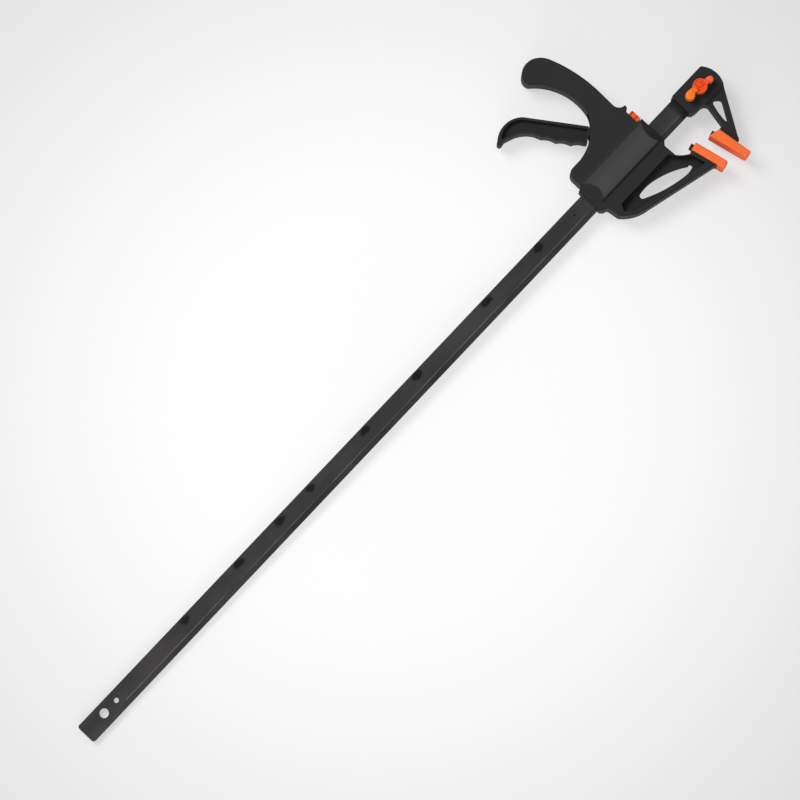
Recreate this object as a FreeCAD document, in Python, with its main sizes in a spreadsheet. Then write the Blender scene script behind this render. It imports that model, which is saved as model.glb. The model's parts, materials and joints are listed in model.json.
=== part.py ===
# Quick release bar clamp, lying on its side as it does on a bench.
#
# Frame: +X along the bar from its free end to the fixed jaw, +Y to the grip, +Z up out of the
# near side. The origin is the centre of the bar's free end face. All lengths are millimetres.
import FreeCAD, Part

import math
import os

import Sketcher

V = FreeCAD.Vector

# Driving sizes, one spreadsheet cell each.
SIZES = {
    # bar
    "bar_length": 780.0,
    "bar_height": 19.0,
    "bar_thickness": 6.5,
    "bar_corner_radius": 2.2,
    "bevel_width": 4.8,
    "bevel_depth": 1.6,
    "bevel_start": 30.0,
    "bevel_runout": 14.0,
    "hanging_hole_radius": 4.2,
    "hanging_hole_at": 24.0,
    "stop_hole_radius": 2.3,
    "stop_hole_at": 39.0,
    "end_hole_offset": 1.2,
    # fits
    "slide_clearance": 0.2,
    "socket_clearance": 0.1,
    "pin_clearance": 0.05,
    "overrun": 5.0,
    # fixed jaw
    "fixed_jaw_length": 41.8,
    "fixed_jaw_reach": 11.3,
    "fixed_jaw_depth": 57.0,
    "collar_half_depth": 10.5,
    "arm_half_depth": 7.6,
    "arm_start": 13.6,
    "arm_slope": 2.8,
    "jaw_socket_length": 37.0,
    "bolt_at": 22.0,
    "bolt_offset": 0.8,
    # pads and the tongues that they slip over
    "rake": 12.5,
    "opening": 11.2,
    "pad_thickness": 7.8,
    "pad_length": 32.8,
    "fixed_pad_top": 9.7,
    "fixed_pad_toe": 6.7,
    "fixed_pad_rise": 1.5,
    "fixed_pad_slant": 4.4,
    "fixed_pad_length": 36.5,
    "pad_half_depth": 11.4,
    "pad_corner": 2.6,
    "pad_edge_radius": 1.6,
    "pad_face_wall": 2.2,
    "tongue_thickness": 3.6,
    "tongue_length": 29.4,
    "tongue_tab": 2.8,
    "fixed_tongue_tab": 1.6,
    "tongue_half_depth": 7.4,
    "neck_half_depth": 4.6,
    "neck_root": 3.0,
    "neck_top": 5.4,
    "neck_bottom": 21.5,
    "moving_pad_y": 31.0,
    "fixed_pad_x": 2.3,
    "fixed_pad_y": 37.0,
    # sliding body
    "carriage_length": 83.5,
    "grip_height": 123.0,
    "jaw_depth": 58.6,
    "body_half_depth": 11.0,
    "body_edge_radius": 1.4,
    "sleeve_half_width": 12.0,
    "sleeve_offset": 3.0,
    "sleeve_rise": 5.0,
    "sleeve_rear_rim": 6.8,
    "sleeve_rear_slope": 12.0,
    "sleeve_front_rim": 8.5,
    "sleeve_front_slope": 7.5,
    "sleeve_trim_half_width": 20.0,
    "web_half_depth": 2.5,
    "cheek_wall": 2.5,
    # drive, with places along X from the trigger's pivot
    "pivot_y": 28.0,
    "trigger_reach": 59.1,
    "trigger_height": 71.5,
    "trigger_half_depth": 7.9,
    "trigger_web_half_depth": 2.6,
    "trigger_pin_radius": 2.5,
    "trigger_boss_radius": 6.3,
    "nose_half_width": 3.0,
    "nose_drop": 13.4,
    "pin_end_gap": 1.0,
    "drive_gap": 0.3,
    "plate_thickness": 3.0,
    "plate_half_depth": 8.0,
    "plate_foot": 3.5,
    "plate_head": 7.5,
    "plate_window_clearance": 0.3,
    "plate_corner_radius": 1.5,
    "spring_seat": 9.0,
    "spring_room_front": 7.0,
    "spring_room_radius": 12.2,
    "drive_room_back": 15.5,
    "drive_room_front": 5.0,
    "drive_room_foot": 13.4,
    "drive_room_top": 22.0,
    "drive_spring_wire": 1.4,
    "drive_spring_radius": 11.1,
    "drive_spring_turns": 5.5,
    # brake, with places along X from the brake plate's foot
    "brake_pivot_y": 12.5,
    "brake_tilt": 6.0,
    "brake_window_clearance": 0.4,
    "brake_shoulder": 24.5,
    "brake_tongue_top": 39.6,
    "brake_tongue_half_depth": 4.6,
    "brake_room_back": 12.2,
    "brake_room_front": 5.0,
    "brake_room_top": 18.5,
    "brake_spring_wire": 0.8,
    "brake_spring_radius": 3.0,
    "brake_spring_height": 14.4,
    "brake_spring_turns": 7.5,
    # release button, with places along X from the brake plate's foot
    "button_back": 0.2,
    "button_neck": 10.9,
    "button_front": 13.0,
    "button_base": 18.2,
    "button_top": 28.3,
    "button_plate_base": 17.5,
    "button_plate_top": 28.6,
    "button_half_depth": 6.2,
    "button_plate_half_depth": 7.6,
    "button_edge_radius": 1.0,
    "window_back": 4.7,
    "window_base": 17.6,
    "window_top": 29.8,
    "window_half_depth": 6.6,
    # fasteners
    "screw_radius": 1.5,
    "screw_clear_radius": 1.7,
    "screw_head_radius": 2.6,
    "screw_head_height": 2.2,
    "screw_head_room": 0.2,
    "screw_sink": 0.4,
    "screw_boss_radius": 3.8,
    "screw_length": 13.4,
    "screw_drive_radius": 1.3,
    "screw_drive_depth": 1.2,
    "bolt_radius": 3.0,
    "bolt_hole_radius": 3.2,
    "bolt_head_radius": 5.77,
    "bolt_head_height": 4.0,
    "bolt_head_room": 0.15,
    "bolt_top": 19.0,
    "bolt_chamfer": 0.5,
    "washer_radius": 6.4,
    "washer_thickness": 1.2,
    # wing nut
    "nut_gap": 0.1,
    "nut_hub_radius": 6.6,
    "nut_hub_height": 9.6,
    "nut_hub_round": 0.8,
    "nut_bore_depth": 7.8,
    "nut_dish_radius": 5.0,
    "nut_dish_depth": 0.9,
    "nut_button_radius": 1.6,
    "nut_wing_reach": 15.2,
    "nut_wing_base": 1.6,
    "nut_wing_top": 12.0,
    "nut_wing_round": 1.2,
    "nut_turn": -7.0,
    "insert_radius": 4.4,
    "insert_height": 7.4,
}

# The turning axes of the trigger and of the brake plate, and the moving pad's face, as shares of
# the sliding body's length.
BODY_PLACE_SHARES = {
    "pivot": 0.491,
    "brake": 0.8647,
    "moving_pad": 1.2,
}

# Outlines are closed loops. Each step is the end of a line, or a middle point and the end of an
# arc. An arc marked "in" runs on smoothly from the edge before it, and one marked "out" runs
# smoothly into the edge after it, near its middle point. A place is a share of the piece's
# length along X and of its reach along Y, up or down.
CARRIAGE_SHARES = [
    ((0.0, -0.196),),
    ((0.0, 0.106),),
    ((0.051, 0.118),),
    ((0.051, 0.203),),
    ((0.072, 0.234), (0.120, 0.252)),
    ((0.240, 0.252),),
    ((0.451, 0.295), (0.620, 0.392)),
    ((0.647, 0.423), (0.664, 0.457), "in"),
    ((0.644, 0.687), (0.455, 0.878), "in"),
    ((0.442, 0.918), (0.467, 0.955), "out"),
    ((0.584, 0.994), (0.710, 0.972), "out"),
    ((0.764, 0.937), (0.800, 0.893), "out"),
    ((0.881, 0.685), (0.903, 0.472), "out"),
    ((0.898, 0.350),),
    ((0.923, 0.307), (0.984, 0.289), "in"),
    ((0.977, 0.265),),
    ((0.940, 0.250),),
    ((0.937, 0.138),),
    ((0.988, 0.138),),
    ((1.0, 0.114),),
    ((1.0, -0.162),),
    ((0.963, -0.215),),
    ((0.953, -0.237),),
    ((0.960, -0.437),),
    ((0.998, -0.503), (1.074, -0.585)),
    ((1.246, -0.585),),
    ((1.246, -1.0),),
    ((1.180, -1.0),),
    ((1.165, -0.969),),
    ((0.382, -0.695),),
    ((0.204, -0.597), (0.096, -0.452)),
    ((0.079, -0.273),),
    ((0.072, -0.256),),
    ((0.029, -0.239),),
]
# The sleeve's section across the bar, from its crest's foot. X follows its half width here.
SLEEVE_SHARES = [
    ((-1.0, 0.0),),
    ((0.0, 1.0), (0.792, 0.416)),
    ((1.060, 0.110), (1.355, 0.0), "in"),
    ((1.355, -0.5),),
    ((-1.0, -0.5),),
]
# Where the sleeve would pass the body's own corners: from and to along X, and up from along Y.
SLEEVE_CORNER_SHARES = [
    (-0.1, 0.051, 0.118),
    (0.937, 1.1, 0.138),
]
JAW_RECESS_SHARES = [
    ((0.204, -0.355),),
    ((0.888, -0.355),),
    ((0.911, -0.363), (0.924, -0.386)),
    ((0.963, -0.483),),
    ((1.060, -0.602),),
    ((1.075, -0.621),),
    ((1.109, -0.838),),
    ((0.868, -0.765),),
    ((0.608, -0.698),),
    ((0.350, -0.609),),
    ((0.247, -0.563), (0.163, -0.461)),
]
JAW_WINDOW_SHARES = [
    ((0.399, -0.491), (0.429, -0.451)),
    ((0.527, -0.440), (0.630, -0.461)),
    ((0.759, -0.517), (0.978, -0.684)),
    ((1.010, -0.722), (0.984, -0.741)),
    ((0.940, -0.753), (0.886, -0.749)),
    ((0.647, -0.672), (0.407, -0.527)),
]
GRIP_ROOM_SHARES = [
    ((0.725, 0.439),),
    ((0.714, 0.549),),
    ((0.657, 0.736), (0.497, 0.888)),
    ((0.509, 0.947), (0.599, 0.974)),
    ((0.731, 0.923), (0.806, 0.795)),
    ((0.846, 0.622), (0.867, 0.439)),
]
TRIGGER_ROOM_SHARES = [
    ((0.395, 0.167),),
    ((0.395, 0.325),),
    ((0.599, 0.455),),
    ((0.683, 0.439),),
    ((0.677, 0.341),),
    ((0.587, 0.175),),
]
SCREW_SHARES = {
    "screw_grip_end": (0.599, 0.896),
    "screw_grip_root": (0.790, 0.390),
    "screw_rear_top": (0.156, 0.215),
    "screw_rear_low": (0.168, -0.297),
    "screw_front_low": (0.874, -0.297),
    "screw_jaw_tip": (1.072, -0.884),
}
FIXED_JAW_SHARES = [
    ((0.0, -0.167),),
    ((0.0, 0.929),),
    ((0.024, 1.0),),
    ((0.873, 1.0),),
    ((1.0, -0.026), (0.947, -0.219)),
    ((0.304, -0.989),),
    ((0.297, -1.0),),
    ((0.096, -1.0),),
    ((0.096, -0.667),),
    ((0.304, -0.658),),
    ((0.364, -0.421), (0.388, -0.335)),
    ((0.378, -0.277), (0.301, -0.230)),
    ((0.144, -0.226),),
    ((0.048, -0.207),),
]
FIXED_WINDOW_SHARES = [
    ((0.428, -0.491), (0.402, -0.639)),
    ((0.424, -0.665), (0.478, -0.651)),
    ((0.682, -0.409),),
    ((0.687, -0.367), (0.646, -0.333)),
    ((0.562, -0.302), (0.478, -0.354)),
]
TRIGGER_SHARES = [
    ((0.107, 0.035),),
    ((0.085, -0.014),),
    ((-0.074, -0.007),),
    ((-0.074, 0.064),),
    ((0.020, 0.189),),
    ((-0.073, 0.129),),
    ((-0.098, 0.120),),
    ((-0.134, 0.164),),
    ((-0.184, 0.220), (-0.254, 0.259)),
    ((-0.299, 0.345), (-0.379, 0.413)),
    ((-0.415, 0.500), (-0.486, 0.571)),
    ((-0.528, 0.662),),
    ((-0.599, 0.738), (-0.745, 0.825)),
    ((-0.892, 0.868),),
    ((-0.950, 0.860),),
    ((-1.004, 0.884), (-0.973, 0.923)),
    ((-0.733, 1.0), (-0.452, 0.903)),
    ((0.103, 0.255),),
]
TRIGGER_WEB_SHARES = [
    ((0.071, 0.235),),
    ((-0.003, 0.213),),
    ((-0.095, 0.157),),
    ((-0.105, 0.185),),
    ((-0.155, 0.240), (-0.227, 0.283)),
    ((-0.270, 0.362), (-0.347, 0.428)),
    ((-0.385, 0.512), (-0.450, 0.586)),
    ((-0.496, 0.681),),
    ((-0.575, 0.762), (-0.731, 0.853)),
    ((-0.914, 0.902),),
    ((-0.726, 0.968), (-0.482, 0.885)),
]
NUT_WING_SHARES = [
    ((0.567, -0.125),),
    ((0.900, 0.0), (0.567, 0.125)),
    ((0.263, 0.125),),
    ((-0.263, 0.160),),
    ((-0.613, 0.160),),
    ((-1.100, 0.0), (-0.613, -0.160)),
    ((-0.263, -0.160),),
    ((0.263, -0.125),),
]

doc = FreeCAD.newDocument("bar_clamp")
sheet = doc.addObject("Spreadsheet::Sheet", "sizes")


class Size:
    """A length with its spreadsheet formula and its present value."""

    def __init__(self, text, value):
        self.text = text
        self.value = value

    def __add__(self, other):
        other = size_of(other)
        return Size(f"({self.text} + {other.text})", self.value + other.value)

    def __sub__(self, other):
        other = size_of(other)
        return Size(f"({self.text} - {other.text})", self.value - other.value)

    def __mul__(self, factor):
        factor = size_of(factor)
        return Size(f"{self.text} * {factor.text}", self.value * factor.value)

    def __truediv__(self, factor):
        factor = size_of(factor)
        return Size(f"{self.text} / {factor.text}", self.value / factor.value)

    def __neg__(self):
        return Size(f"(0 - {self.text})", -self.value)


def size_of(thing):
    """A plain number or a Size, as a Size."""
    if isinstance(thing, Size):
        return thing
    return Size(f"({thing})", float(thing))


def cosine(angle):
    return Size(f"cos({angle.text})", math.cos(math.radians(angle.value)))


def sine(angle):
    return Size(f"sin({angle.text})", math.sin(math.radians(angle.value)))


def fill_sheet():
    """Write one row for each driving size, and return the sizes by name."""
    for row, (name, value) in enumerate(SIZES.items(), 1):
        sheet.set(f"A{row}", name)
        sheet.set(f"B{row}", str(value))
        sheet.setAlias(f"B{row}", name)
    doc.recompute()
    return {name: Size(f"sizes.{name}", float(sheet.get(name))) for name in SIZES}


class Sizes:
    """The sheet's sizes as attributes."""

    def __init__(self, table):
        self.__dict__.update(table)


s = Sizes(fill_sheet())
zero = size_of(0)

# Places that follow from the driving sizes.
half_bar_height = s.bar_height / 2
half_bar_thickness = s.bar_thickness / 2
fixed_jaw_at = s.bar_length - s.jaw_socket_length
pivot_x = s.carriage_length * BODY_PLACE_SHARES["pivot"]
brake_x = s.carriage_length * BODY_PLACE_SHARES["brake"]
moving_pad_x = s.carriage_length * BODY_PLACE_SHARES["moving_pad"]
rake_lean = sine(s.rake) / cosine(s.rake)
closed_gap = s.opening + moving_pad_x + s.fixed_pad_x
carriage_at = fixed_jaw_at - closed_gap + (s.moving_pad_y - s.fixed_pad_y) * rake_lean
room_half_depth = s.body_half_depth - s.cheek_wall
nut_floor = s.collar_half_depth + s.washer_thickness + s.nut_gap
front_plate_face = pivot_x - s.nose_half_width - s.drive_gap
rear_plate_back = front_plate_face - s.plate_thickness * 2
screw_seat = s.body_half_depth - s.screw_head_height - s.screw_sink


def bind(thing, prop, size):
    """Give a property the formula that it follows."""
    thing.setExpression(prop, size_of(size).text)


def place(thing, x=0, y=0, z=0, turn=None, prop="Placement"):
    """Bind an object's position, and its turn about Z where it has one."""
    if turn is not None:
        turned = FreeCAD.Rotation(V(0, 0, 1), turn.value)
        setattr(thing, prop, FreeCAD.Placement(V(0, 0, 0), turned))
        bind(thing, f"{prop}.Rotation.Angle", turn)
    for letter, size in (("x", x), ("y", y), ("z", z)):
        if isinstance(size, Size):
            bind(thing, f"{prop}.Base.{letter}", size)


def new_body(name, x=0, y=0, z=0, turn=None):
    body = doc.addObject("PartDesign::Body", name)
    body.Label = name
    place(body, x, y, z, turn)
    return body


def sketch_on(body, role, name, x=0, y=0, z=0, turn=None):
    """A new sketch on one of the body's own planes, shifted in that plane and off it."""
    sketch = body.newObject("Sketcher::SketchObject", name)
    plane = [f for f in body.Origin.OriginFeatures if f.Role == role][0]
    sketch.AttachmentSupport = (plane, [""])
    sketch.MapMode = "FlatFace"
    place(sketch, x, y, z, turn, "AttachmentOffset")
    return sketch


def pin_point(sketch, shape, end, spot):
    """Hold a point of a sketch at its place."""
    for kind, size in zip(("DistanceX", "DistanceY"), spot):
        index = sketch.addConstraint(Sketcher.Constraint(kind, -1, 1, shape, end, size.value))
        sketch.setExpression(f"Constraints[{index}]", size.text)


def draw_loop(sketch, steps):
    """Draw a closed loop. Each step is its end, or a middle point and its end, in Sizes."""
    edges = []
    start = steps[-1][-1] if len(steps[-1]) < 3 else steps[-1][1]
    for step in steps:
        spots = [(size_of(x), size_of(y)) for x, y in step[:2]]
        smooth = step[2] if len(step) > 2 else None
        end = spots[-1]
        first = V(size_of(start[0]).value, size_of(start[1]).value, 0)
        last = V(end[0].value, end[1].value, 0)
        head, tail = 1, 2
        if len(spots) == 1:
            shape = sketch.addGeometry(Part.LineSegment(first, last), False)
        else:
            middle = V(spots[0][0].value, spots[0][1].value, 0)
            shape = sketch.addGeometry(Part.Arc(first, middle, last), False)
            to_first = sketch.getPoint(shape, 1).distanceToPoint(first)
            to_last = sketch.getPoint(shape, 1).distanceToPoint(last)
            if to_last < to_first:
                head, tail = 2, 1
            if smooth is None:
                guide = sketch.addGeometry(Part.Point(middle), True)
                sketch.addConstraint(Sketcher.Constraint("PointOnObject", guide, 1, shape))
                pin_point(sketch, guide, 1, spots[0])
        edges.append((shape, head, tail, end, smooth))
        start = end
    for index, (shape, _, tail, end, smooth) in enumerate(edges):
        following, head, _, _, next_smooth = edges[(index + 1) % len(edges)]
        kind = "Tangent" if smooth == "out" or next_smooth == "in" else "Coincident"
        sketch.addConstraint(Sketcher.Constraint(kind, shape, tail, following, head))
        pin_point(sketch, shape, tail, end)


def draw_box(sketch, low_x, high_x, low_y, high_y):
    """Draw a rectangle between two corners."""
    draw_loop(sketch, [
        ((low_x, low_y),),
        ((high_x, low_y),),
        ((high_x, high_y),),
        ((low_x, high_y),),
    ])


def draw_circle(sketch, x, y, radius):
    """Draw a circle with its centre and radius bound."""
    x, y = size_of(x), size_of(y)
    centre = V(x.value, y.value, 0)
    shape = sketch.addGeometry(Part.Circle(centre, V(0, 0, 1), radius.value), False)
    index = sketch.addConstraint(Sketcher.Constraint("Radius", shape, radius.value))
    sketch.setExpression(f"Constraints[{index}]", radius.text)
    pin_point(sketch, shape, 3, (x, y))


def draw_hexagon(sketch, x, y, radius):
    """Draw a regular hexagon by its outer radius."""
    sides = 6
    corners = []
    for index in range(sides):
        angle = size_of(index) * 360 / sides
        corners.append(((radius * cosine(angle) + x, radius * sine(angle) + y),))
    draw_loop(sketch, corners)


def shared(table, length, up, down):
    """Turn a table of shares into places: X follows length, Y follows up or down."""
    def spot(share):
        if isinstance(share, str):
            return share
        reach = up if share[1] > 0 else down
        return (length * share[0], reach * share[1])

    return [tuple(spot(share) for share in step) for step in table]


def pad(body, sketch, length, both_sides=False, name="pad"):
    feature = body.newObject("PartDesign::Pad", name)
    feature.Profile = sketch
    feature.Midplane = both_sides
    bind(feature, "Length", length)
    doc.recompute()
    return feature


def pocket(body, sketch, length, both_sides=False, downward=False, name="pocket"):
    """Cut a sketch's loop off its plane, or to both sides, and stop if it cuts nothing."""
    doc.recompute()
    before = body.Shape.Volume
    feature = body.newObject("PartDesign::Pocket", name)
    feature.Profile = sketch
    feature.Midplane = both_sides
    feature.Reversed = not (downward or both_sides)
    bind(feature, "Length", length)
    doc.recompute()
    if not body.Shape.Volume < before:
        raise ValueError(f"{name} in {body.Label} cuts nothing")
    return feature


def round_edges(body, radius, chosen, kind="Fillet"):
    """Round or bevel the edges of the body's tip that a test picks."""
    doc.recompute()
    tip = body.Tip
    names = [f"Edge{i}" for i, edge in enumerate(tip.Shape.Edges, 1) if chosen(edge)]
    feature = body.newObject(f"PartDesign::{kind}", kind.lower())
    feature.Base = (tip, names)
    bind(feature, "Radius" if kind == "Fillet" else "Size", radius)
    doc.recompute()
    if "Invalid" in feature.State or not feature.Shape.isValid():
        raise ValueError(f"{kind} in {body.Label} failed on {names}")
    return feature


def flat_at(axis, level, within=None):
    """A test for edges that lie in a plane across X, Y or Z, inside a box where one is given."""
    near = level.value / 1000 if level.value > 0 else -level.value / 1000

    def test(edge):
        box = edge.BoundBox
        low = getattr(box, f"{axis}Min")
        high = getattr(box, f"{axis}Max")
        if abs(low - level.value) > near or abs(high - level.value) > near:
            return False
        return within is None or within(box.Center)

    return test


def upright_near(spots, reach):
    """A test for upright edges that stand at one of the places."""
    def test(edge):
        box = edge.BoundBox
        if box.XLength + box.YLength > reach.value / 100:
            return False
        centre = box.Center
        return any(
            math.hypot(centre.x - size_of(x).value, centre.y - size_of(y).value) < reach.value
            for x, y in spots
        )

    return test


def build_bar():
    """The bar: a flat strip with two end holes, a bolt hole and a broad bevel along -Y."""
    body = new_body("bar")
    outline = sketch_on(body, "XY_Plane", "bar_outline")
    draw_box(outline, 0, s.bar_length, -half_bar_height, half_bar_height)
    pad(body, outline, s.bar_thickness, both_sides=True)
    corners = [(0, -half_bar_height), (0, half_bar_height)]
    round_edges(body, s.bar_corner_radius, upright_near(corners, s.bar_corner_radius))
    holes = sketch_on(body, "XY_Plane", "bar_holes")
    draw_circle(holes, s.hanging_hole_at, s.end_hole_offset, s.hanging_hole_radius)
    draw_circle(holes, s.stop_hole_at, s.end_hole_offset, s.stop_hole_radius)
    draw_circle(holes, fixed_jaw_at + s.bolt_at, -s.bolt_offset, s.bolt_hole_radius)
    pocket(body, holes, s.bar_thickness * 2, both_sides=True, name="holes")
    for side in (1, -1):
        face = half_bar_thickness * side
        sketches = []
        for at, share in ((s.bevel_start, size_of(1) / 100), (s.bevel_start + s.bevel_runout, 1)):
            sketch = sketch_on(body, "YZ_Plane", "bevel_section", z=at)
            draw_loop(sketch, [
                ((-half_bar_height, face - s.bevel_depth * side * share),),
                ((-half_bar_height + s.bevel_width * share, face),),
                ((-half_bar_height + s.bevel_width * share, face + s.bevel_depth * side),),
                ((-half_bar_height - s.overrun, face + s.bevel_depth * side),),
                ((-half_bar_height - s.overrun, face - s.bevel_depth * side * share),),
            ])
            sketches.append(sketch)
        doc.recompute()
        before = body.Shape.Volume
        runout = body.newObject("PartDesign::SubtractiveLoft", "bevel_runout")
        runout.Profile = sketches[0]
        runout.Sections = [sketches[1]]
        runout.Ruled = True
        doc.recompute()
        if not body.Shape.Volume < before:
            raise ValueError("the bevel's run-out cuts nothing")
        pocket(body, sketches[1], s.bar_length, name="bevel")
    return body


def add_tongue(body, pad_x, pad_y, side, top, toe, tab):
    """Trim a jaw at the pad's back, and add the neck and the tongue that the pad slips over.

    side is 1 where the pad's clamping face looks along +X, and -1 where it looks along -X. The
    pad's thickness runs from top to toe, and the tongue stands tab above its reference end.
    """
    tongue_back = (s.pad_face_wall + s.tongue_thickness) * -side
    tongue_front = s.pad_face_wall * -side
    trim = sketch_on(body, "XY_Plane", "seat_trim", pad_x, -pad_y, 0, s.rake)
    draw_loop(trim, [
        ((s.pad_length * side, s.pad_length / 2),),
        (((top + (top - toe) / 2) * -side, s.pad_length / 2),),
        (((toe - (top - toe)) * -side, -s.pad_length * 2),),
        ((s.pad_length * side, -s.pad_length * 2),),
    ])
    pocket(body, trim, s.body_half_depth * 4, both_sides=True, name="seat_trim_cut")
    neck = sketch_on(body, "XY_Plane", "tongue_neck", pad_x, -pad_y, 0, s.rake)
    root = (top + s.neck_root) * -side
    middle = (tongue_back + tongue_front) / 2
    draw_box(neck, root, middle, -s.neck_bottom, -s.neck_top)
    pad(body, neck, s.neck_half_depth * 2, both_sides=True, name="neck")
    tongue = sketch_on(body, "XY_Plane", "tongue_outline", pad_x, -pad_y, 0, s.rake)
    draw_box(tongue, tongue_back, tongue_front, -s.tongue_length, tab)
    pad(body, tongue, s.tongue_half_depth * 2, both_sides=True, name="tongue")


def build_fixed_jaw():
    """The fixed jaw: collar round the bar, arm with a window, tongue for its pad."""
    body = new_body("fixed_jaw", fixed_jaw_at)
    reach, length, depth = s.fixed_jaw_reach, s.fixed_jaw_length, s.fixed_jaw_depth
    outline = sketch_on(body, "XY_Plane", "jaw_outline")
    draw_loop(outline, shared(FIXED_JAW_SHARES, length, reach, depth))
    pad(body, outline, s.collar_half_depth * 2, both_sides=True, name="jaw")
    for side in (1, -1):
        sketch = sketch_on(body, "YZ_Plane", "arm_sides")
        top = s.collar_half_depth + s.overrun
        draw_loop(sketch, [
            ((-s.arm_start, top * side),),
            ((-s.arm_start, s.collar_half_depth * side),),
            ((-s.arm_start - s.arm_slope, s.arm_half_depth * side),),
            ((-depth * 2, s.arm_half_depth * side),),
            ((-depth * 2, top * side),),
        ])
        pocket(body, sketch, length * 4, both_sides=True, name="arm_side")
    window = sketch_on(body, "XY_Plane", "window_outline")
    draw_loop(window, shared(FIXED_WINDOW_SHARES, length, reach, depth))
    pocket(body, window, s.collar_half_depth * 4, both_sides=True, name="window")
    top, toe, tab = s.fixed_pad_top, s.fixed_pad_toe, s.fixed_tongue_tab
    add_tongue(body, -s.fixed_pad_x, s.fixed_pad_y, -1, top, toe, tab)
    socket = sketch_on(body, "XY_Plane", "bar_socket")
    half_height = half_bar_height + s.socket_clearance
    draw_box(socket, -s.overrun, s.jaw_socket_length, -half_height, half_height)
    pocket(body, socket, s.bar_thickness + s.socket_clearance * 2, both_sides=True, name="socket")
    bolt_hole = sketch_on(body, "XY_Plane", "bolt_hole")
    draw_circle(bolt_hole, s.bolt_at, -s.bolt_offset, s.bolt_hole_radius)
    pocket(body, bolt_hole, s.collar_half_depth * 4, both_sides=True, name="hole")
    recess = sketch_on(body, "XY_Plane", "bolt_recess", z=-s.collar_half_depth)
    draw_hexagon(recess, s.bolt_at, -s.bolt_offset, s.bolt_head_radius + s.bolt_head_room)
    pocket(body, recess, s.bolt_head_height, name="recess")
    return body


def build_pad(name, x, y, side, top, toe, length, rise, slant):
    """A soft pad: a block with a slot for the jaw's tongue, open at its top.

    Its face runs from rise above its reference end to length below it. The end slopes by slant
    from the face to the back, and the back lies on the seat where the jaw is trimmed.
    """
    body = new_body(name, x, -y, 0, s.rake)
    back = top * -side
    high, low = rise - slant, -length
    taper = (top - toe) / s.pad_length
    block = sketch_on(body, "XY_Plane", "pad_outline")
    draw_loop(block, [
        ((zero, rise),),
        (((top + taper * high) * -side, high),),
        (((top + taper * low) * -side, low),),
        ((zero, low),),
    ])
    pad(body, block, s.pad_half_depth * 2, both_sides=True, name="block")
    face_end = [(0, -length)]
    round_edges(body, s.pad_corner, upright_near(face_end, s.pad_edge_radius))
    front = flat_at("Z", s.pad_half_depth)
    rear = flat_at("Z", -s.pad_half_depth)
    round_edges(body, s.pad_edge_radius, lambda edge: front(edge) or rear(edge))
    slot = sketch_on(body, "XY_Plane", "tongue_slot")
    tongue_back = (s.pad_face_wall + s.tongue_thickness) * -side
    tongue_front = s.pad_face_wall * -side
    draw_box(slot, tongue_back, tongue_front, -s.tongue_length, s.overrun)
    half_depth = s.tongue_half_depth + s.socket_clearance
    pocket(body, slot, half_depth * 2, both_sides=True, name="slot")
    mouth = sketch_on(body, "XY_Plane", "neck_slot")
    middle = (tongue_back + tongue_front) / 2
    bottom = s.neck_bottom + s.socket_clearance
    draw_box(mouth, back - s.overrun * side, middle, -bottom, s.overrun)
    half_depth = s.neck_half_depth + s.socket_clearance
    pocket(body, mouth, half_depth * 2, both_sides=True, name="mouth")
    return body


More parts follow.
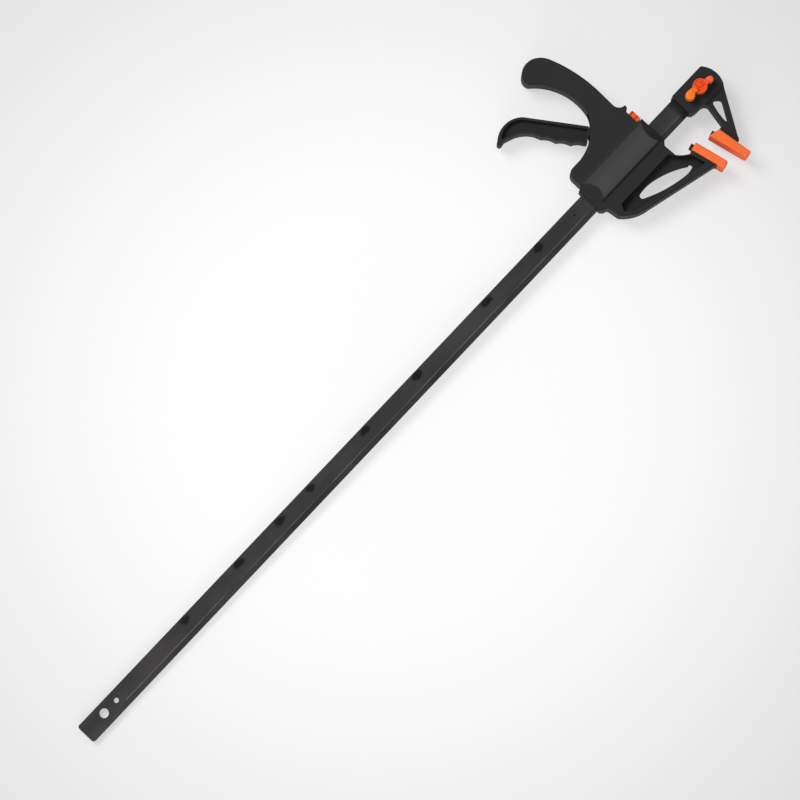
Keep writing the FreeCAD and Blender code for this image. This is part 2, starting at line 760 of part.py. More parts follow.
def build_half_body():
    """One half of the sliding body: grip, sleeve round the bar, moving jaw and its rooms."""
    body = new_body("half_body", carriage_at)
    length, up, down = s.carriage_length, s.grip_height, s.jaw_depth
    everywhere = s.body_half_depth * 4

    outline = sketch_on(body, "XY_Plane", "carriage_outline")
    draw_loop(outline, shared(CARRIAGE_SHARES, length, up, down))
    pad(body, outline, s.body_half_depth, name="plate")
    rim = flat_at("Z", s.body_half_depth)
    shortest = s.body_edge_radius.value
    round_edges(body, s.body_edge_radius, lambda edge: rim(edge) and edge.Length > shortest)

    sleeve = sketch_on(body, "YZ_Plane", "sleeve_section", s.sleeve_offset, s.body_half_depth)
    half_width, rise = s.sleeve_half_width, s.sleeve_rise
    draw_loop(sleeve, shared(SLEEVE_SHARES, half_width, rise, rise))
    pad(body, sleeve, length, name="sleeve")
    crest = s.body_half_depth + s.sleeve_rise
    ends = sketch_on(body, "XZ_Plane", "sleeve_ends")
    over = crest + s.overrun
    draw_loop(ends, [
        ((-s.overrun, s.sleeve_rear_rim),),
        ((0, s.sleeve_rear_rim),),
        ((s.sleeve_rear_slope, crest),),
        ((s.sleeve_rear_slope, over),),
        ((-s.overrun, over),),
    ])
    draw_loop(ends, [
        ((length + s.overrun, s.sleeve_front_rim),),
        ((length, s.sleeve_front_rim),),
        ((length - s.sleeve_front_slope, crest),),
        ((length - s.sleeve_front_slope, over),),
        ((length + s.overrun, over),),
    ])
    pocket(body, ends, s.sleeve_trim_half_width * 2, both_sides=True, name="sleeve_end_cuts")
    corners = sketch_on(body, "XY_Plane", "sleeve_corners")
    for low, high, base in SLEEVE_CORNER_SHARES:
        draw_box(corners, length * low, length * high, up * base, up / 5)
    pocket(body, corners, everywhere, name="sleeve_corner_cuts")

    recess = sketch_on(body, "XY_Plane", "jaw_recess", z=s.web_half_depth)
    draw_loop(recess, shared(JAW_RECESS_SHARES, length, up, down))
    pocket(body, recess, everywhere, name="recess")
    window = sketch_on(body, "XY_Plane", "jaw_window")
    draw_loop(window, shared(JAW_WINDOW_SHARES, length, up, down))
    pocket(body, window, everywhere, name="window")
    thickness = s.pad_thickness
    add_tongue(body, moving_pad_x, s.moving_pad_y, 1, thickness, thickness, s.tongue_tab)
    trim = sketch_on(body, "XY_Plane", "mating_face")
    draw_box(trim, -s.overrun, length * 2, -down * 2, up)
    pocket(body, trim, s.body_half_depth * 2, downward=True, name="mating_face_cut")

    channel = sketch_on(body, "XY_Plane", "bar_channel")
    half_height = half_bar_height + s.slide_clearance
    draw_box(channel, -s.overrun, length + s.overrun, -half_height, half_height)
    pocket(body, channel, half_bar_thickness + s.slide_clearance, name="channel")
    rooms = sketch_on(body, "XY_Plane", "drive_room")
    foot, top = -s.drive_room_foot, s.drive_room_top
    draw_box(rooms, pivot_x - s.drive_room_back, pivot_x + s.drive_room_front, foot, top)
    pocket(body, rooms, room_half_depth, name="drive_room_cut")
    rooms = sketch_on(body, "YZ_Plane", "spring_room", z=s.spring_seat)
    draw_circle(rooms, 0, 0, s.spring_room_radius)
    depth = pivot_x - s.spring_room_front - s.spring_seat
    pocket(body, rooms, depth, name="spring_room_cut")
    rooms = sketch_on(body, "XY_Plane", "brake_room")
    foot, top = -s.brake_pivot_y - s.plate_thickness / 2, s.brake_room_top
    draw_box(rooms, brake_x - s.brake_room_back, brake_x + s.brake_room_front, foot, top)
    pocket(body, rooms, room_half_depth, name="brake_room_cut")
    rooms = sketch_on(body, "XY_Plane", "button_window")
    front = length + s.overrun
    draw_box(rooms, brake_x - s.window_back, front, s.window_base, s.window_top)
    pocket(body, rooms, s.window_half_depth, name="button_window_cut")
    rooms = sketch_on(body, "XY_Plane", "trigger_room")
    draw_loop(rooms, shared(TRIGGER_ROOM_SHARES, length, up, down))
    pocket(body, rooms, room_half_depth, name="trigger_room_cut")
    rooms = sketch_on(body, "XY_Plane", "grip_room")
    draw_loop(rooms, shared(GRIP_ROOM_SHARES, length, up, down))
    pocket(body, rooms, room_half_depth, name="grip_room_cut")
    boss = sketch_on(body, "XY_Plane", "grip_boss")
    x, y = SCREW_SHARES["screw_grip_end"]
    draw_circle(boss, length * x, up * y, s.screw_boss_radius)
    pad(body, boss, s.body_half_depth - s.body_edge_radius, name="boss")
    bore = sketch_on(body, "XY_Plane", "pin_bore")
    draw_circle(bore, pivot_x, s.pivot_y, s.trigger_pin_radius)
    pocket(body, bore, s.body_half_depth - s.pin_end_gap, name="pin_bore_cut")
    return body


def screw_spot(name):
    """A shell screw's place along X and Y."""
    x, y = SCREW_SHARES[name]
    reach = s.grip_height if y > 0 else s.jaw_depth
    return carriage_at + s.carriage_length * x, reach * y


def drill(name, spot, radius, low, high):
    """An upright cylinder used to cut a hole from one height to another."""
    tool = doc.addObject("Part::Cylinder", name)
    bind(tool, "Radius", radius)
    bind(tool, "Height", high - low)
    place(tool, spot[0], spot[1], size_of(low))
    return tool


def cut_holes(name, solid, tools):
    """The solid less every tool."""
    group = doc.addObject("Part::MultiFuse", f"{name}_holes")
    group.Shapes = tools
    part = doc.addObject("Part::Cut", name)
    part.Label = name
    part.Base = solid
    part.Tool = group
    doc.recompute()
    return part


def build_shells():
    """The near shell with blind screw holes, and its mirror image with open, sunk ones."""
    core = build_half_body()
    doc.recompute()
    pilots = []
    clearances = []
    deep = s.screw_length - screw_seat + s.screw_head_room
    head = s.screw_head_radius + s.screw_head_room
    for name in SCREW_SHARES:
        spot = screw_spot(name)
        low = -s.body_half_depth - s.overrun
        pilots.append(drill(f"{name}_pilot", spot, s.screw_radius, zero, deep))
        clearances.append(drill(f"{name}_hole", spot, s.screw_clear_radius, low, zero))
        clearances.append(drill(f"{name}_sink", spot, head, low, -screw_seat))
    near = cut_holes("near_shell", core, pilots)
    mirror = doc.addObject("Part::Mirroring", "half_body_mirrored")
    mirror.Source = core
    mirror.Normal = V(0, 0, 1)
    mirror.Base = V(0, 0, 0)
    far = cut_holes("far_shell", mirror, clearances)
    return near, far


def build_screw(name):
    """A shell screw, head outward on the far side, with a hexagon socket."""
    x, y = screw_spot(name)
    body = new_body(name, x, y, -screw_seat)
    head = sketch_on(body, "XY_Plane", "head_outline")
    draw_circle(head, 0, 0, s.screw_head_radius)
    feature = pad(body, head, s.screw_head_height, name="head")
    feature.Reversed = True
    shank = sketch_on(body, "XY_Plane", "shank_outline")
    draw_circle(shank, 0, 0, s.screw_radius)
    pad(body, shank, s.screw_length, name="shank")
    socket = sketch_on(body, "XY_Plane", "drive_socket", z=-s.screw_head_height)
    draw_hexagon(socket, zero, zero, s.screw_drive_radius)
    pocket(body, socket, s.screw_drive_depth, name="socket")
    return body


def build_trigger():
    """The squeeze lever: rimmed paddle, thin web, boss on the pin and nose on the plates."""
    body = new_body("trigger", carriage_at + pivot_x, s.pivot_y)
    reach, height = s.trigger_reach, s.trigger_height
    depth = s.trigger_half_depth * 2
    paddle = sketch_on(body, "XY_Plane", "paddle_outline")
    draw_loop(paddle, shared(TRIGGER_SHARES, reach, height, height))
    pad(body, paddle, depth, both_sides=True, name="paddle")
    for side in (1, -1):
        web = sketch_on(body, "XY_Plane", "web_outline", z=s.trigger_web_half_depth * side)
        draw_loop(web, shared(TRIGGER_WEB_SHARES, reach, height, height))
        pocket(body, web, depth, downward=side < 0, name="web")
    boss = sketch_on(body, "XY_Plane", "boss_outline")
    draw_circle(boss, 0, 0, s.trigger_boss_radius)
    pad(body, boss, depth, both_sides=True, name="boss")
    nose = sketch_on(body, "XY_Plane", "nose_outline")
    half, drop = s.nose_half_width, s.nose_drop
    draw_loop(nose, [
        ((half, 0),),
        ((half, -drop),),
        ((0, -drop - half), (-half, -drop)),
        ((-half, 0),),
    ])
    pad(body, nose, depth, both_sides=True, name="nose")
    bore = sketch_on(body, "XY_Plane", "pin_bore")
    draw_circle(bore, 0, 0, s.trigger_pin_radius + s.pin_clearance)
    pocket(body, bore, depth * 2, both_sides=True, name="bore")
    return body


def build_trigger_pin():
    half = s.body_half_depth - s.pin_end_gap
    spot = (carriage_at + pivot_x, s.pivot_y)
    pin = drill("trigger_pin", spot, s.trigger_pin_radius, -half, half)
    pin.Label = "trigger_pin"
    return pin


def build_drive_plate(name, back):
    """A steel plate with a window that the bar runs through."""
    body = new_body(name, carriage_at + back)
    outline = sketch_on(body, "YZ_Plane", "plate_outline")
    foot = -half_bar_height - s.plate_foot
    top = half_bar_height + s.plate_head
    draw_box(outline, foot, top, -s.plate_half_depth, s.plate_half_depth)
    pad(body, outline, s.plate_thickness, name="plate")
    middle = s.plate_thickness / 2
    near = s.plate_corner_radius.value / 10

    def corner(edge):
        box = edge.BoundBox
        return box.YLength + box.ZLength < near and abs(box.Center.x - middle.value) < near

    round_edges(body, s.plate_corner_radius, corner)
    window = sketch_on(body, "YZ_Plane", "plate_window")
    half_height = half_bar_height + s.plate_window_clearance
    half_depth = half_bar_thickness + s.plate_window_clearance
    draw_box(window, -half_height, half_height, -half_depth, half_depth)
    pocket(body, window, s.plate_thickness, name="window")
    return body


def build_brake_plate():
    """The tilting steel plate: it rocks on its round foot and its tongue carries the button."""
    body = new_body("brake_plate", carriage_at + brake_x, -s.brake_pivot_y, 0, -s.brake_tilt)
    outline = sketch_on(body, "YZ_Plane", "plate_outline")
    shoulder, top = s.brake_shoulder, s.brake_tongue_top
    wide, narrow = s.plate_half_depth, s.brake_tongue_half_depth
    draw_loop(outline, [
        ((zero, -wide),),
        ((shoulder, -wide),),
        ((shoulder, -narrow),),
        ((top, -narrow),),
        ((top, narrow),),
        ((shoulder, narrow),),
        ((shoulder, wide),),
        ((zero, wide),),
    ])
    pad(body, outline, s.plate_thickness, both_sides=True, name="plate")
    foot = sketch_on(body, "XY_Plane", "foot_outline")
    draw_circle(foot, 0, 0, s.plate_thickness / 2)
    pad(body, foot, wide * 2, both_sides=True, name="foot")
    window = sketch_on(body, "YZ_Plane", "plate_window")
    half_height = half_bar_height + s.brake_window_clearance
    half_depth = half_bar_thickness + s.plate_window_clearance
    centre = s.brake_pivot_y
    draw_box(window, centre - half_height, centre + half_height, -half_depth, half_depth)
    pocket(body, window, s.plate_thickness * 2, both_sides=True, name="window")
    return body


def build_release_button():
    """The thumb button: a cap round the brake plate's tongue, with a wider plate in front."""
    body = new_body("release_button", carriage_at)
    back, neck, front = (brake_x + at for at in (s.button_back, s.button_neck, s.button_front))
    stem = sketch_on(body, "XY_Plane", "stem_outline")
    draw_box(stem, back, neck, s.button_base, s.button_top)
    pad(body, stem, s.button_half_depth * 2, both_sides=True, name="stem")
    plate = sketch_on(body, "XY_Plane", "plate_outline")
    draw_box(plate, neck, front, s.button_plate_base, s.button_plate_top)
    pad(body, plate, s.button_plate_half_depth * 2, both_sides=True, name="plate")
    round_edges(body, s.button_edge_radius, flat_at("X", front))
    cavity = sketch_on(
        body, "XY_Plane", "tongue_cavity", brake_x, -s.brake_pivot_y, 0, -s.brake_tilt
    )
    half = s.plate_thickness / 2
    draw_box(cavity, -half, half, s.brake_shoulder, s.brake_tongue_top)
    pocket(body, cavity, s.brake_tongue_half_depth * 2, both_sides=True, name="cavity")
    return body


def build_jaw_bolt():
    """The bolt through the fixed jaw: hexagon head sunk in the far side."""
    body = new_body("jaw_bolt", fixed_jaw_at + s.bolt_at, -s.bolt_offset, -s.collar_half_depth)
    head = sketch_on(body, "XY_Plane", "head_outline")
    draw_hexagon(head, zero, zero, s.bolt_head_radius)
    pad(body, head, s.bolt_head_height, name="head")
    shank = sketch_on(body, "XY_Plane", "shank_outline")
    draw_circle(shank, 0, 0, s.bolt_radius)
    total = s.collar_half_depth + s.bolt_top
    pad(body, shank, total, name="shank")
    round_edges(body, s.bolt_chamfer, flat_at("Z", total), "Chamfer")
    return body


def build_jaw_washer():
    body = new_body("jaw_washer", fixed_jaw_at + s.bolt_at, -s.bolt_offset, s.collar_half_depth)
    ring = sketch_on(body, "XY_Plane", "ring_outline")
    draw_circle(ring, 0, 0, s.washer_radius)
    draw_circle(ring, 0, 0, s.bolt_hole_radius)
    pad(body, ring, s.washer_thickness, name="ring")
    return body


def build_wing_nut():
    """The wing nut: round hub with a dished top, and two rounded wings."""
    body = new_body("wing_nut", fixed_jaw_at + s.bolt_at, -s.bolt_offset, nut_floor, s.nut_turn)
    reach = s.nut_wing_reach
    wings = sketch_on(body, "XY_Plane", "wing_outline", z=s.nut_wing_base)
    draw_loop(wings, shared(NUT_WING_SHARES, reach, reach, reach))
    pad(body, wings, s.nut_wing_top - s.nut_wing_base, name="wings")
    round_edges(body, s.nut_wing_round, flat_at("Z", s.nut_wing_top))
    clear = sketch_on(body, "XY_Plane", "hub_clearance", z=s.nut_hub_height - s.nut_dish_depth)
    draw_circle(clear, 0, 0, s.nut_hub_radius - s.nut_hub_round)
    pocket(body, clear, s.nut_wing_top, name="hub_top")
    hub = sketch_on(body, "XY_Plane", "hub_outline")
    draw_circle(hub, 0, 0, s.nut_hub_radius)
    pad(body, hub, s.nut_hub_height, name="hub")
    dish = sketch_on(body, "XY_Plane", "dish_outline", z=s.nut_hub_height - s.nut_dish_depth)
    draw_circle(dish, 0, 0, s.nut_dish_radius)
    draw_circle(dish, 0, 0, s.nut_button_radius)
    pocket(body, dish, s.nut_wing_top, name="dish")
    bore = sketch_on(body, "XY_Plane", "insert_bore")
    draw_circle(bore, 0, 0, s.insert_radius)
    pocket(body, bore, s.nut_bore_depth, name="bore")
    return body


def build_wing_nut_insert():
    """The threaded insert, drawn with a plain bore at the thread's outer size."""
    body = new_body("wing_nut_insert", fixed_jaw_at + s.bolt_at, -s.bolt_offset, nut_floor)
    ring = sketch_on(body, "XY_Plane", "ring_outline")
    draw_circle(ring, 0, 0, s.insert_radius)
    draw_circle(ring, 0, 0, s.bolt_radius + s.pin_clearance)
    pad(body, ring, s.insert_height, name="ring")
    return body


def quarter_arcs(start, heading, end, end_heading):
    """Two arcs that leave start and reach end along the given headings."""
    span = end - start
    both = heading + end_heading
    square = 2 * (heading.dot(end_heading) - 1)
    along = 2 * span.dot(both)
    root = math.sqrt(along * along - 4 * square * span.dot(span))
    reach = (along - root) / (2 * square) if abs(square) > 0 else span.dot(span) / along
    knots = [start, start + heading * reach, end - end_heading * reach, end]
    join = (knots[1] + knots[2]) / 2
    edges = []
    for first, elbow, last in ((knots[0], knots[1], join), (join, knots[2], knots[3])):
        middle = (first + last) / 2
        half_chord = (last - first).Length / 2
        rise = (elbow - middle).Length
        side = math.hypot(half_chord, rise)
        sagitta = half_chord * (side - half_chord) / rise
        bulge = middle + (elbow - middle) / rise * sagitta
        edges.append(Part.Arc(first, bulge, last).toShape())
    return edges


def coil(radius, length, turns, wire):
    """A coil about +X from the origin, in one unbroken tube, and its least gap to itself."""
    quarters = round(turns * 4)
    pitch = length / turns

    def spot(index):
        angle = index * math.pi / 2
        return V(length * index / quarters, radius * math.cos(angle), radius * math.sin(angle))

    def heading(index):
        angle = index * math.pi / 2
        rise = pitch / (2 * math.pi)
        way = V(rise, -radius * math.sin(angle), radius * math.cos(angle))
        return way / way.Length

    edges = []
    for index in range(quarters):
        edges += quarter_arcs(spot(index), heading(index), spot(index + 1), heading(index + 1))
    path = Part.Wire(edges)
    section = Part.Wire([Part.Circle(spot(0), heading(0), wire / 2).toShape()])
    tube = path.makePipeShell([section], True, False)
    swept = math.pi * wire * wire / 4 * path.Length
    points = [(i / 8, p) for i, p in enumerate(path.discretize(quarters * 8 + 1))]
    gap = min(
        (p - q).Length - wire
        for i, p in points for j, q in points if j - i > 2
    )
    print(f"coil: least gap {gap:.2f}, volume {tube.Volume:.1f} against {swept:.1f}")
    return tube


def build_spring(name, x, y, radius, length, turns, wire):
    """A compression spring whose wire stays between its two seats."""
    spring = doc.addObject("Part::Feature", name)
    spring.Label = name
    spring.Shape = coil(radius.value, (length - wire * 2).value, turns.value, wire.value)
    spring.Placement = FreeCAD.Placement(V((x + wire).value, y.value, 0), FreeCAD.Rotation())
    return spring


def build_springs():
    start = s.spring_seat
    drive = build_spring(
        "drive_spring",
        carriage_at + start,
        zero,
        s.drive_spring_radius,
        rear_plate_back - start,
        s.drive_spring_turns,
        s.drive_spring_wire,
    )
    height = s.brake_spring_height
    above = s.brake_pivot_y + height - s.brake_spring_radius - s.brake_spring_wire / 2
    lean = sine(s.brake_tilt) / cosine(s.brake_tilt)
    seat = brake_x - s.brake_room_back
    face = brake_x + above * lean - s.plate_thickness / 2 / cosine(s.brake_tilt)
    brake = build_spring(
        "brake_spring",
        carriage_at + seat,
        height,
        s.brake_spring_radius,
        face - seat,
        s.brake_spring_turns,
        s.brake_spring_wire,
    )
    return drive, brake


def build_all():
    """Every separate piece, in order from the bar outward."""
    near, far = build_shells()
    parts = [
        build_bar(),
        build_fixed_jaw(),
        build_pad(
            "fixed_jaw_pad",
            fixed_jaw_at - s.fixed_pad_x,
            s.fixed_pad_y,
            -1,
            s.fixed_pad_top,
            s.fixed_pad_toe,
            s.fixed_pad_length,
            s.fixed_pad_rise,
            s.fixed_pad_slant,
        ),
        build_jaw_bolt(),
        build_jaw_washer(),
        build_wing_nut(),
        build_wing_nut_insert(),
        near,
        far,
    ]
    parts += [build_screw(name) for name in SCREW_SHARES]
    parts += [
        build_pad(
            "moving_jaw_pad",
            carriage_at + moving_pad_x,
            s.moving_pad_y,
            1,
            s.pad_thickness,
            s.pad_thickness,
            s.pad_length,
            zero,
            zero,
        ),
        build_trigger(),
        build_trigger_pin(),
        build_drive_plate("drive_plate_front", front_plate_face - s.plate_thickness),
        build_drive_plate("drive_plate_rear", rear_plate_back),
        build_brake_plate(),
        build_release_button(),
    ]
    parts += build_springs()
    return parts


def main():
    parts = build_all()
    doc.recompute()
    for thing in doc.Objects:
        if "Invalid" in thing.State or "Error" in thing.State:
            raise ValueError(f"{thing.Label} failed: {thing.State}")
    for part in parts:
        if part.Shape.isNull() or not part.Shape.isValid() or len(part.Shape.Solids) != 1:
            raise ValueError(f"{part.Label} is not one valid solid")
    os.makedirs("parts", exist_ok=True)
    for part in parts:
        part.Shape.exportStep(f"parts/{part.Label}.step")
        box = part.Shape.BoundBox
        print(
            f"{part.Label}: {part.Shape.Volume:.0f} mm3,"
            f" x {box.XMin:.1f}..{box.XMax:.1f},"
            f" y {box.YMin:.1f}..{box.YMax:.1f},"
            f" z {box.ZMin:.1f}..{box.ZMax:.1f}"
        )


main()
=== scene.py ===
"""A quick release bar clamp lying on a pale sweep, seen from almost straight above."""
from __future__ import annotations

import json
import logging
import math
from dataclasses import dataclass, field
from enum import Enum
from functools import reduce
from typing import Any, Callable, Optional, Sequence, Union

import bpy
from mathutils import Matrix, Vector


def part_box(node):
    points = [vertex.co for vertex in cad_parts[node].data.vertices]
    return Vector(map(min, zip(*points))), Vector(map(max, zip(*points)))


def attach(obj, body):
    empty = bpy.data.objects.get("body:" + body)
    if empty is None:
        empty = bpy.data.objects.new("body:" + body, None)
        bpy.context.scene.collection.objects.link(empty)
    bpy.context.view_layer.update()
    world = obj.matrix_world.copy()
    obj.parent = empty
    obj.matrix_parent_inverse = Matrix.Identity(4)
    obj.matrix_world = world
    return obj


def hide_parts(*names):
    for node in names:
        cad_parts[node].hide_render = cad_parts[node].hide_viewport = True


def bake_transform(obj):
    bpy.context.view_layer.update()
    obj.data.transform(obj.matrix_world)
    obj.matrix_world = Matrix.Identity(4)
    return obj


log = logging.getLogger("clamp")
MM = 0.001
MM_PER_METRE = 1000.0
BODY_REAR = 627.97
NUT_CENTRE = (765.0, -0.8)
Colour = tuple[float, float, float]
Point = tuple[float, float, float]
Span = tuple[float, float]

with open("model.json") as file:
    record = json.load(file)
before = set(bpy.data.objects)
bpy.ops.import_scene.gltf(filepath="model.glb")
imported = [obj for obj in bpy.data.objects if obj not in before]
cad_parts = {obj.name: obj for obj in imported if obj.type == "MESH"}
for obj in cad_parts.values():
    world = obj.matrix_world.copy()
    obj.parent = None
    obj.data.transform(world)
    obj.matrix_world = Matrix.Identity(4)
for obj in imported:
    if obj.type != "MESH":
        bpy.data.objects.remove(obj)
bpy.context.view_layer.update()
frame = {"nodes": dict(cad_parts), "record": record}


class Ride(Enum):
    """The moving bodies that a piece can ride on."""

    ROOT = "bar_and_fixed_jaw"
    NUT = "wing_nut"
    CARRIAGE = "carriage"
    TRIGGER = "trigger"
    PLATES = "drive_plates"
    BRAKE = "brake"


class Channel:
    """A shader output that takes part in Python arithmetic."""

    def __init__(self, bench: "NodeBench", socket: bpy.types.NodeSocket) -> None:
        """Keep the socket and the tree that it belongs to."""
        self.bench = bench
        self.socket = socket

    def _math(self, operation: str, *values: Any) -> "Channel":
        """Add one Math node and return its output."""
        return self.bench.add("ShaderNodeMath", {"operation": operation}, dict(enumerate(values)))

    def __add__(self, other: Any) -> "Channel":
        """Sum."""
        return self._math("ADD", self, other)

    __radd__ = __add__

    def __mul__(self, other: Any) -> "Channel":
        """Product."""
        return self._math("MULTIPLY", self, other)

    __rmul__ = __mul__

    def __sub__(self, other: Any) -> "Channel":
        """Difference."""
        return self._math("SUBTRACT", self, other)

    def __rsub__(self, other: Any) -> "Channel":
        """Reflected difference."""
        return self._math("SUBTRACT", other, self)

    def __truediv__(self, other: Any) -> "Channel":
        """Quotient."""
        return self._math("DIVIDE", self, other)

    def __pow__(self, other: Any) -> "Channel":
        """Power."""
        return self._math("POWER", self, other)

    def most(self, other: Any) -> "Channel":
        """The larger of the two."""
        return self._math("MAXIMUM", self, other)

    def size(self) -> "Channel":
        """Absolute value."""
        return self._math("ABSOLUTE", self)

    def ramp(self, low: float, high: float) -> "Channel":
        """Rise smoothly from 0 at low to 1 at high.

        Args:
            low: the value where the result is 0.
            high: the value where the result is 1.

        Returns:
            The smoothed value.
        """
        settings = {"interpolation_type": "SMOOTHSTEP", "clamp": True}
        ends = {"Value": self, "From Min": low, "From Max": high}
        return self.bench.add("ShaderNodeMapRange", settings, ends)


class NodeBench:
    """A material's node tree with short ways to add and join nodes."""

    def __init__(self, name: str) -> None:
        """Start an empty material.

        Args:
            name: the material's name.
        """
        self.material = bpy.data.materials.new(name)
        self.material.use_nodes = True
        self.tree = self.material.node_tree
        self.tree.nodes.clear()
        self.place = self.add("ShaderNodeTexCoord", {}, {}, "Object")

    def add(
        self,
        kind: str,
        settings: dict[str, Any],
        inputs: dict[Union[int, str], Any],
        output: Union[int, str] = 0,
    ) -> Channel:
        """Add a node.

        Args:
            kind: the node's type.
            settings: its properties, set first.
            inputs: values or links for its sockets, by name or number.
            output: the output socket wanted.

        Returns:
            That output, ready for arithmetic.
        """
        node = self.tree.nodes.new(kind)
        for name, value in settings.items():
            setattr(node, name, value)
        for name, value in inputs.items():
            socket = node.inputs[name]
            if isinstance(value, Channel):
                self.tree.links.new(value.socket, socket)
            elif isinstance(value, tuple) and len(value) == 3 and socket.type == "RGBA":
                socket.default_value = (*value, 1.0)
            else:
                socket.default_value = value
        return Channel(self, node.outputs[output])

    def noise(self, scale: float, detail: float = 3.0, along: Sequence[float] = (1, 1, 1)) -> Channel:
        """Fractal noise on the object's coordinates.

        Args:
            scale: features to the metre.
            detail: number of octaves.
            along: stretch on each axis.

        Returns:
            A value from about 0.3 to 0.7.
        """
        stretched = self.add(
            "ShaderNodeMapping", {}, {"Vector": self.place, "Scale": tuple(along)}
        )
        inputs = {"Vector": stretched, "Scale": scale, "Detail": detail}
        return self.add("ShaderNodeTexNoise", {}, inputs, "Fac")

    def axes(self) -> tuple[Channel, Channel, Channel]:
        """The object's coordinates in millimetres."""
        node = self.add("ShaderNodeSeparateXYZ", {}, {0: self.place}, "X").socket.node
        return tuple(Channel(self, node.outputs[name]) * MM_PER_METRE for name in "XYZ")

    def edges(self) -> Channel:
        """1 on the rounded arrises, where edge wear and a painted highlight go, and 0 elsewhere."""
        return self.add("ShaderNodeAttribute", {"attribute_name": "rub"}, {}, "Fac")

    def blend(self, mask: Any, low: Any, high: Any) -> Channel:
        """Mix two colours by a mask."""
        settings = {"data_type": "RGBA", "clamp_factor": True}
        return self.add("ShaderNodeMix", settings, {0: mask, 6: low, 7: high}, 2)

    def bump(self, height: Channel, depth: float) -> Channel:
        """A normal bumped by a height from 0 to 1, whose real depth is in metres."""
        return self.add("ShaderNodeBump", {}, {"Height": height, "Distance": depth}, "Normal")

    def finish(self, **sockets: Any) -> bpy.types.Material:
        """Close the tree with a Principled shader.

        Args:
            sockets: its inputs, with underscores for spaces.

        Returns:
            The material.
        """
        named = {key.replace("_", " "): value for key, value in sockets.items()}
        return self.close(self.add("ShaderNodeBsdfPrincipled", {}, named))

    def close(self, shader: Channel) -> bpy.types.Material:
        """Send a shader to the material's surface.

        Args:
            shader: the shader.

        Returns:
            The material.
        """
        out = self.tree.nodes.new("ShaderNodeOutputMaterial")
        self.tree.links.new(shader.socket, out.inputs["Surface"])
        return self.material


def shade(colour: Colour, share: float) -> Colour:
    """A lighter or darker mix of one colour."""
    return tuple(min(1.0, c * share) for c in colour)


@dataclass(frozen=True)
class Moulded:
    """Moulded plastic or rubber: a fine grain, faint mottling and paler edges, which are partly wear
    and partly a painted highlight.
    """

    name: str
    colour: Colour
    wear_and_highlight: Colour
    rough: float = 0.5
    gloss: float = 0.35
    grain_scale: float = 1700.0
    grain_depth: float = 0.00003
    mottle_scale: float = 24.0
    mottle_shades: Span = (0.95, 1.05)
    wear_and_highlight_scale: float = 170.0
    wear_and_highlight_share: float = 0.55

    def make(self) -> bpy.types.Material:
        """Build the material.

        Returns:
            The material.
        """
        bench = NodeBench(self.name)
        mottle = bench.noise(self.mottle_scale, 3)
        grain = bench.noise(self.grain_scale, 2)
        edge = bench.edges() * bench.noise(self.wear_and_highlight_scale, 3).ramp(0.3, 0.7)
        dark, light = (shade(self.colour, share) for share in self.mottle_shades)
        tint = self.tone_and_painted_light(bench, bench.blend(mottle.ramp(0.3, 0.7), dark, light))
        # the paler edges are wear and a painted highlight along the rounded arrises
        return bench.finish(
            Base_Color=bench.blend(edge * self.wear_and_highlight_share, tint, self.wear_and_highlight),
            Roughness=grain * 0.16 + (self.rough - 0.08) + mottle * 0.04,
            Specular_IOR_Level=self.gloss,
            Normal=bench.bump(grain, self.grain_depth),
        )

    def tone_and_painted_light(self, bench: NodeBench, tint: Channel) -> Channel:
        """The colour with tone and painted light added, which here is left as it is."""
        return tint


@dataclass(frozen=True)
class PaleSleeveShell(Moulded):
    """Shell plastic whose raised sleeve is paler and greyer, with painted shade along its foot and on
    its lit side.

    The places are in millimetres: heights from the bar's middle plane, and distances along
    the bar from the body's rear end.
    """

    pale: Colour = (0.068, 0.065, 0.064)
    rise: float = 12.0
    rear_low: float = 6.8
    rear_lean: float = 1.304
    rear_edge: Span = (0.5, 1.2)
    front_edge: Span = (90.9, 91.6)
    # the line of the sleeve's foot, along which shade is painted
    shaded_foot: float = -9.0
    foot_edge: Span = (1.4, 3.0)
    foot_shade_share: float = 0.6
    foot_shade: float = 0.4
    # painted shade on the side of the sleeve that the key lamp lights, to keep the pale band even
    lit_side_shade: Span = (-8.0, 12.0)
    lit_side_shade_share: float = 0.45

    def tone_and_painted_light(self, bench: NodeBench, tint: Channel) -> Channel:
        """Pale the sleeve's round back, but not its slanted ends, and paint shade along its foot and
        on its lit side.

        Args:
            bench: the material's tree.
            tint: the colour as new.

        Returns:
            The colour as it is after handling.
        """
        x, y, z = bench.axes()
        height = z.size()
        along = x - BODY_REAR
        rear_end = (along - (height - self.rear_low) * self.rear_lean).ramp(*self.rear_edge)
        front_end = 1 - (along + height).ramp(*self.front_edge)
        # random smear, made less pale on the lit side as painted shade
        smear_and_shade = bench.noise(60, 3, (0.3, 1, 1)) * 0.2 + 0.9 - y.ramp(*self.lit_side_shade) * self.lit_side_shade_share
        crest = height.ramp(self.rise - 0.5, self.rise + 0.4) * rear_end * front_end
        # painted shade along the sleeve's foot, in the groove beside the jaw
        shaded_foot = (y - self.shaded_foot).ramp(*self.foot_edge)
        dark = shade(self.colour, self.foot_shade)
        tint = bench.blend(crest * (1 - shaded_foot) * self.foot_shade_share, tint, dark)
        return bench.blend(crest * smear_and_shade * shaded_foot, tint, self.pale)


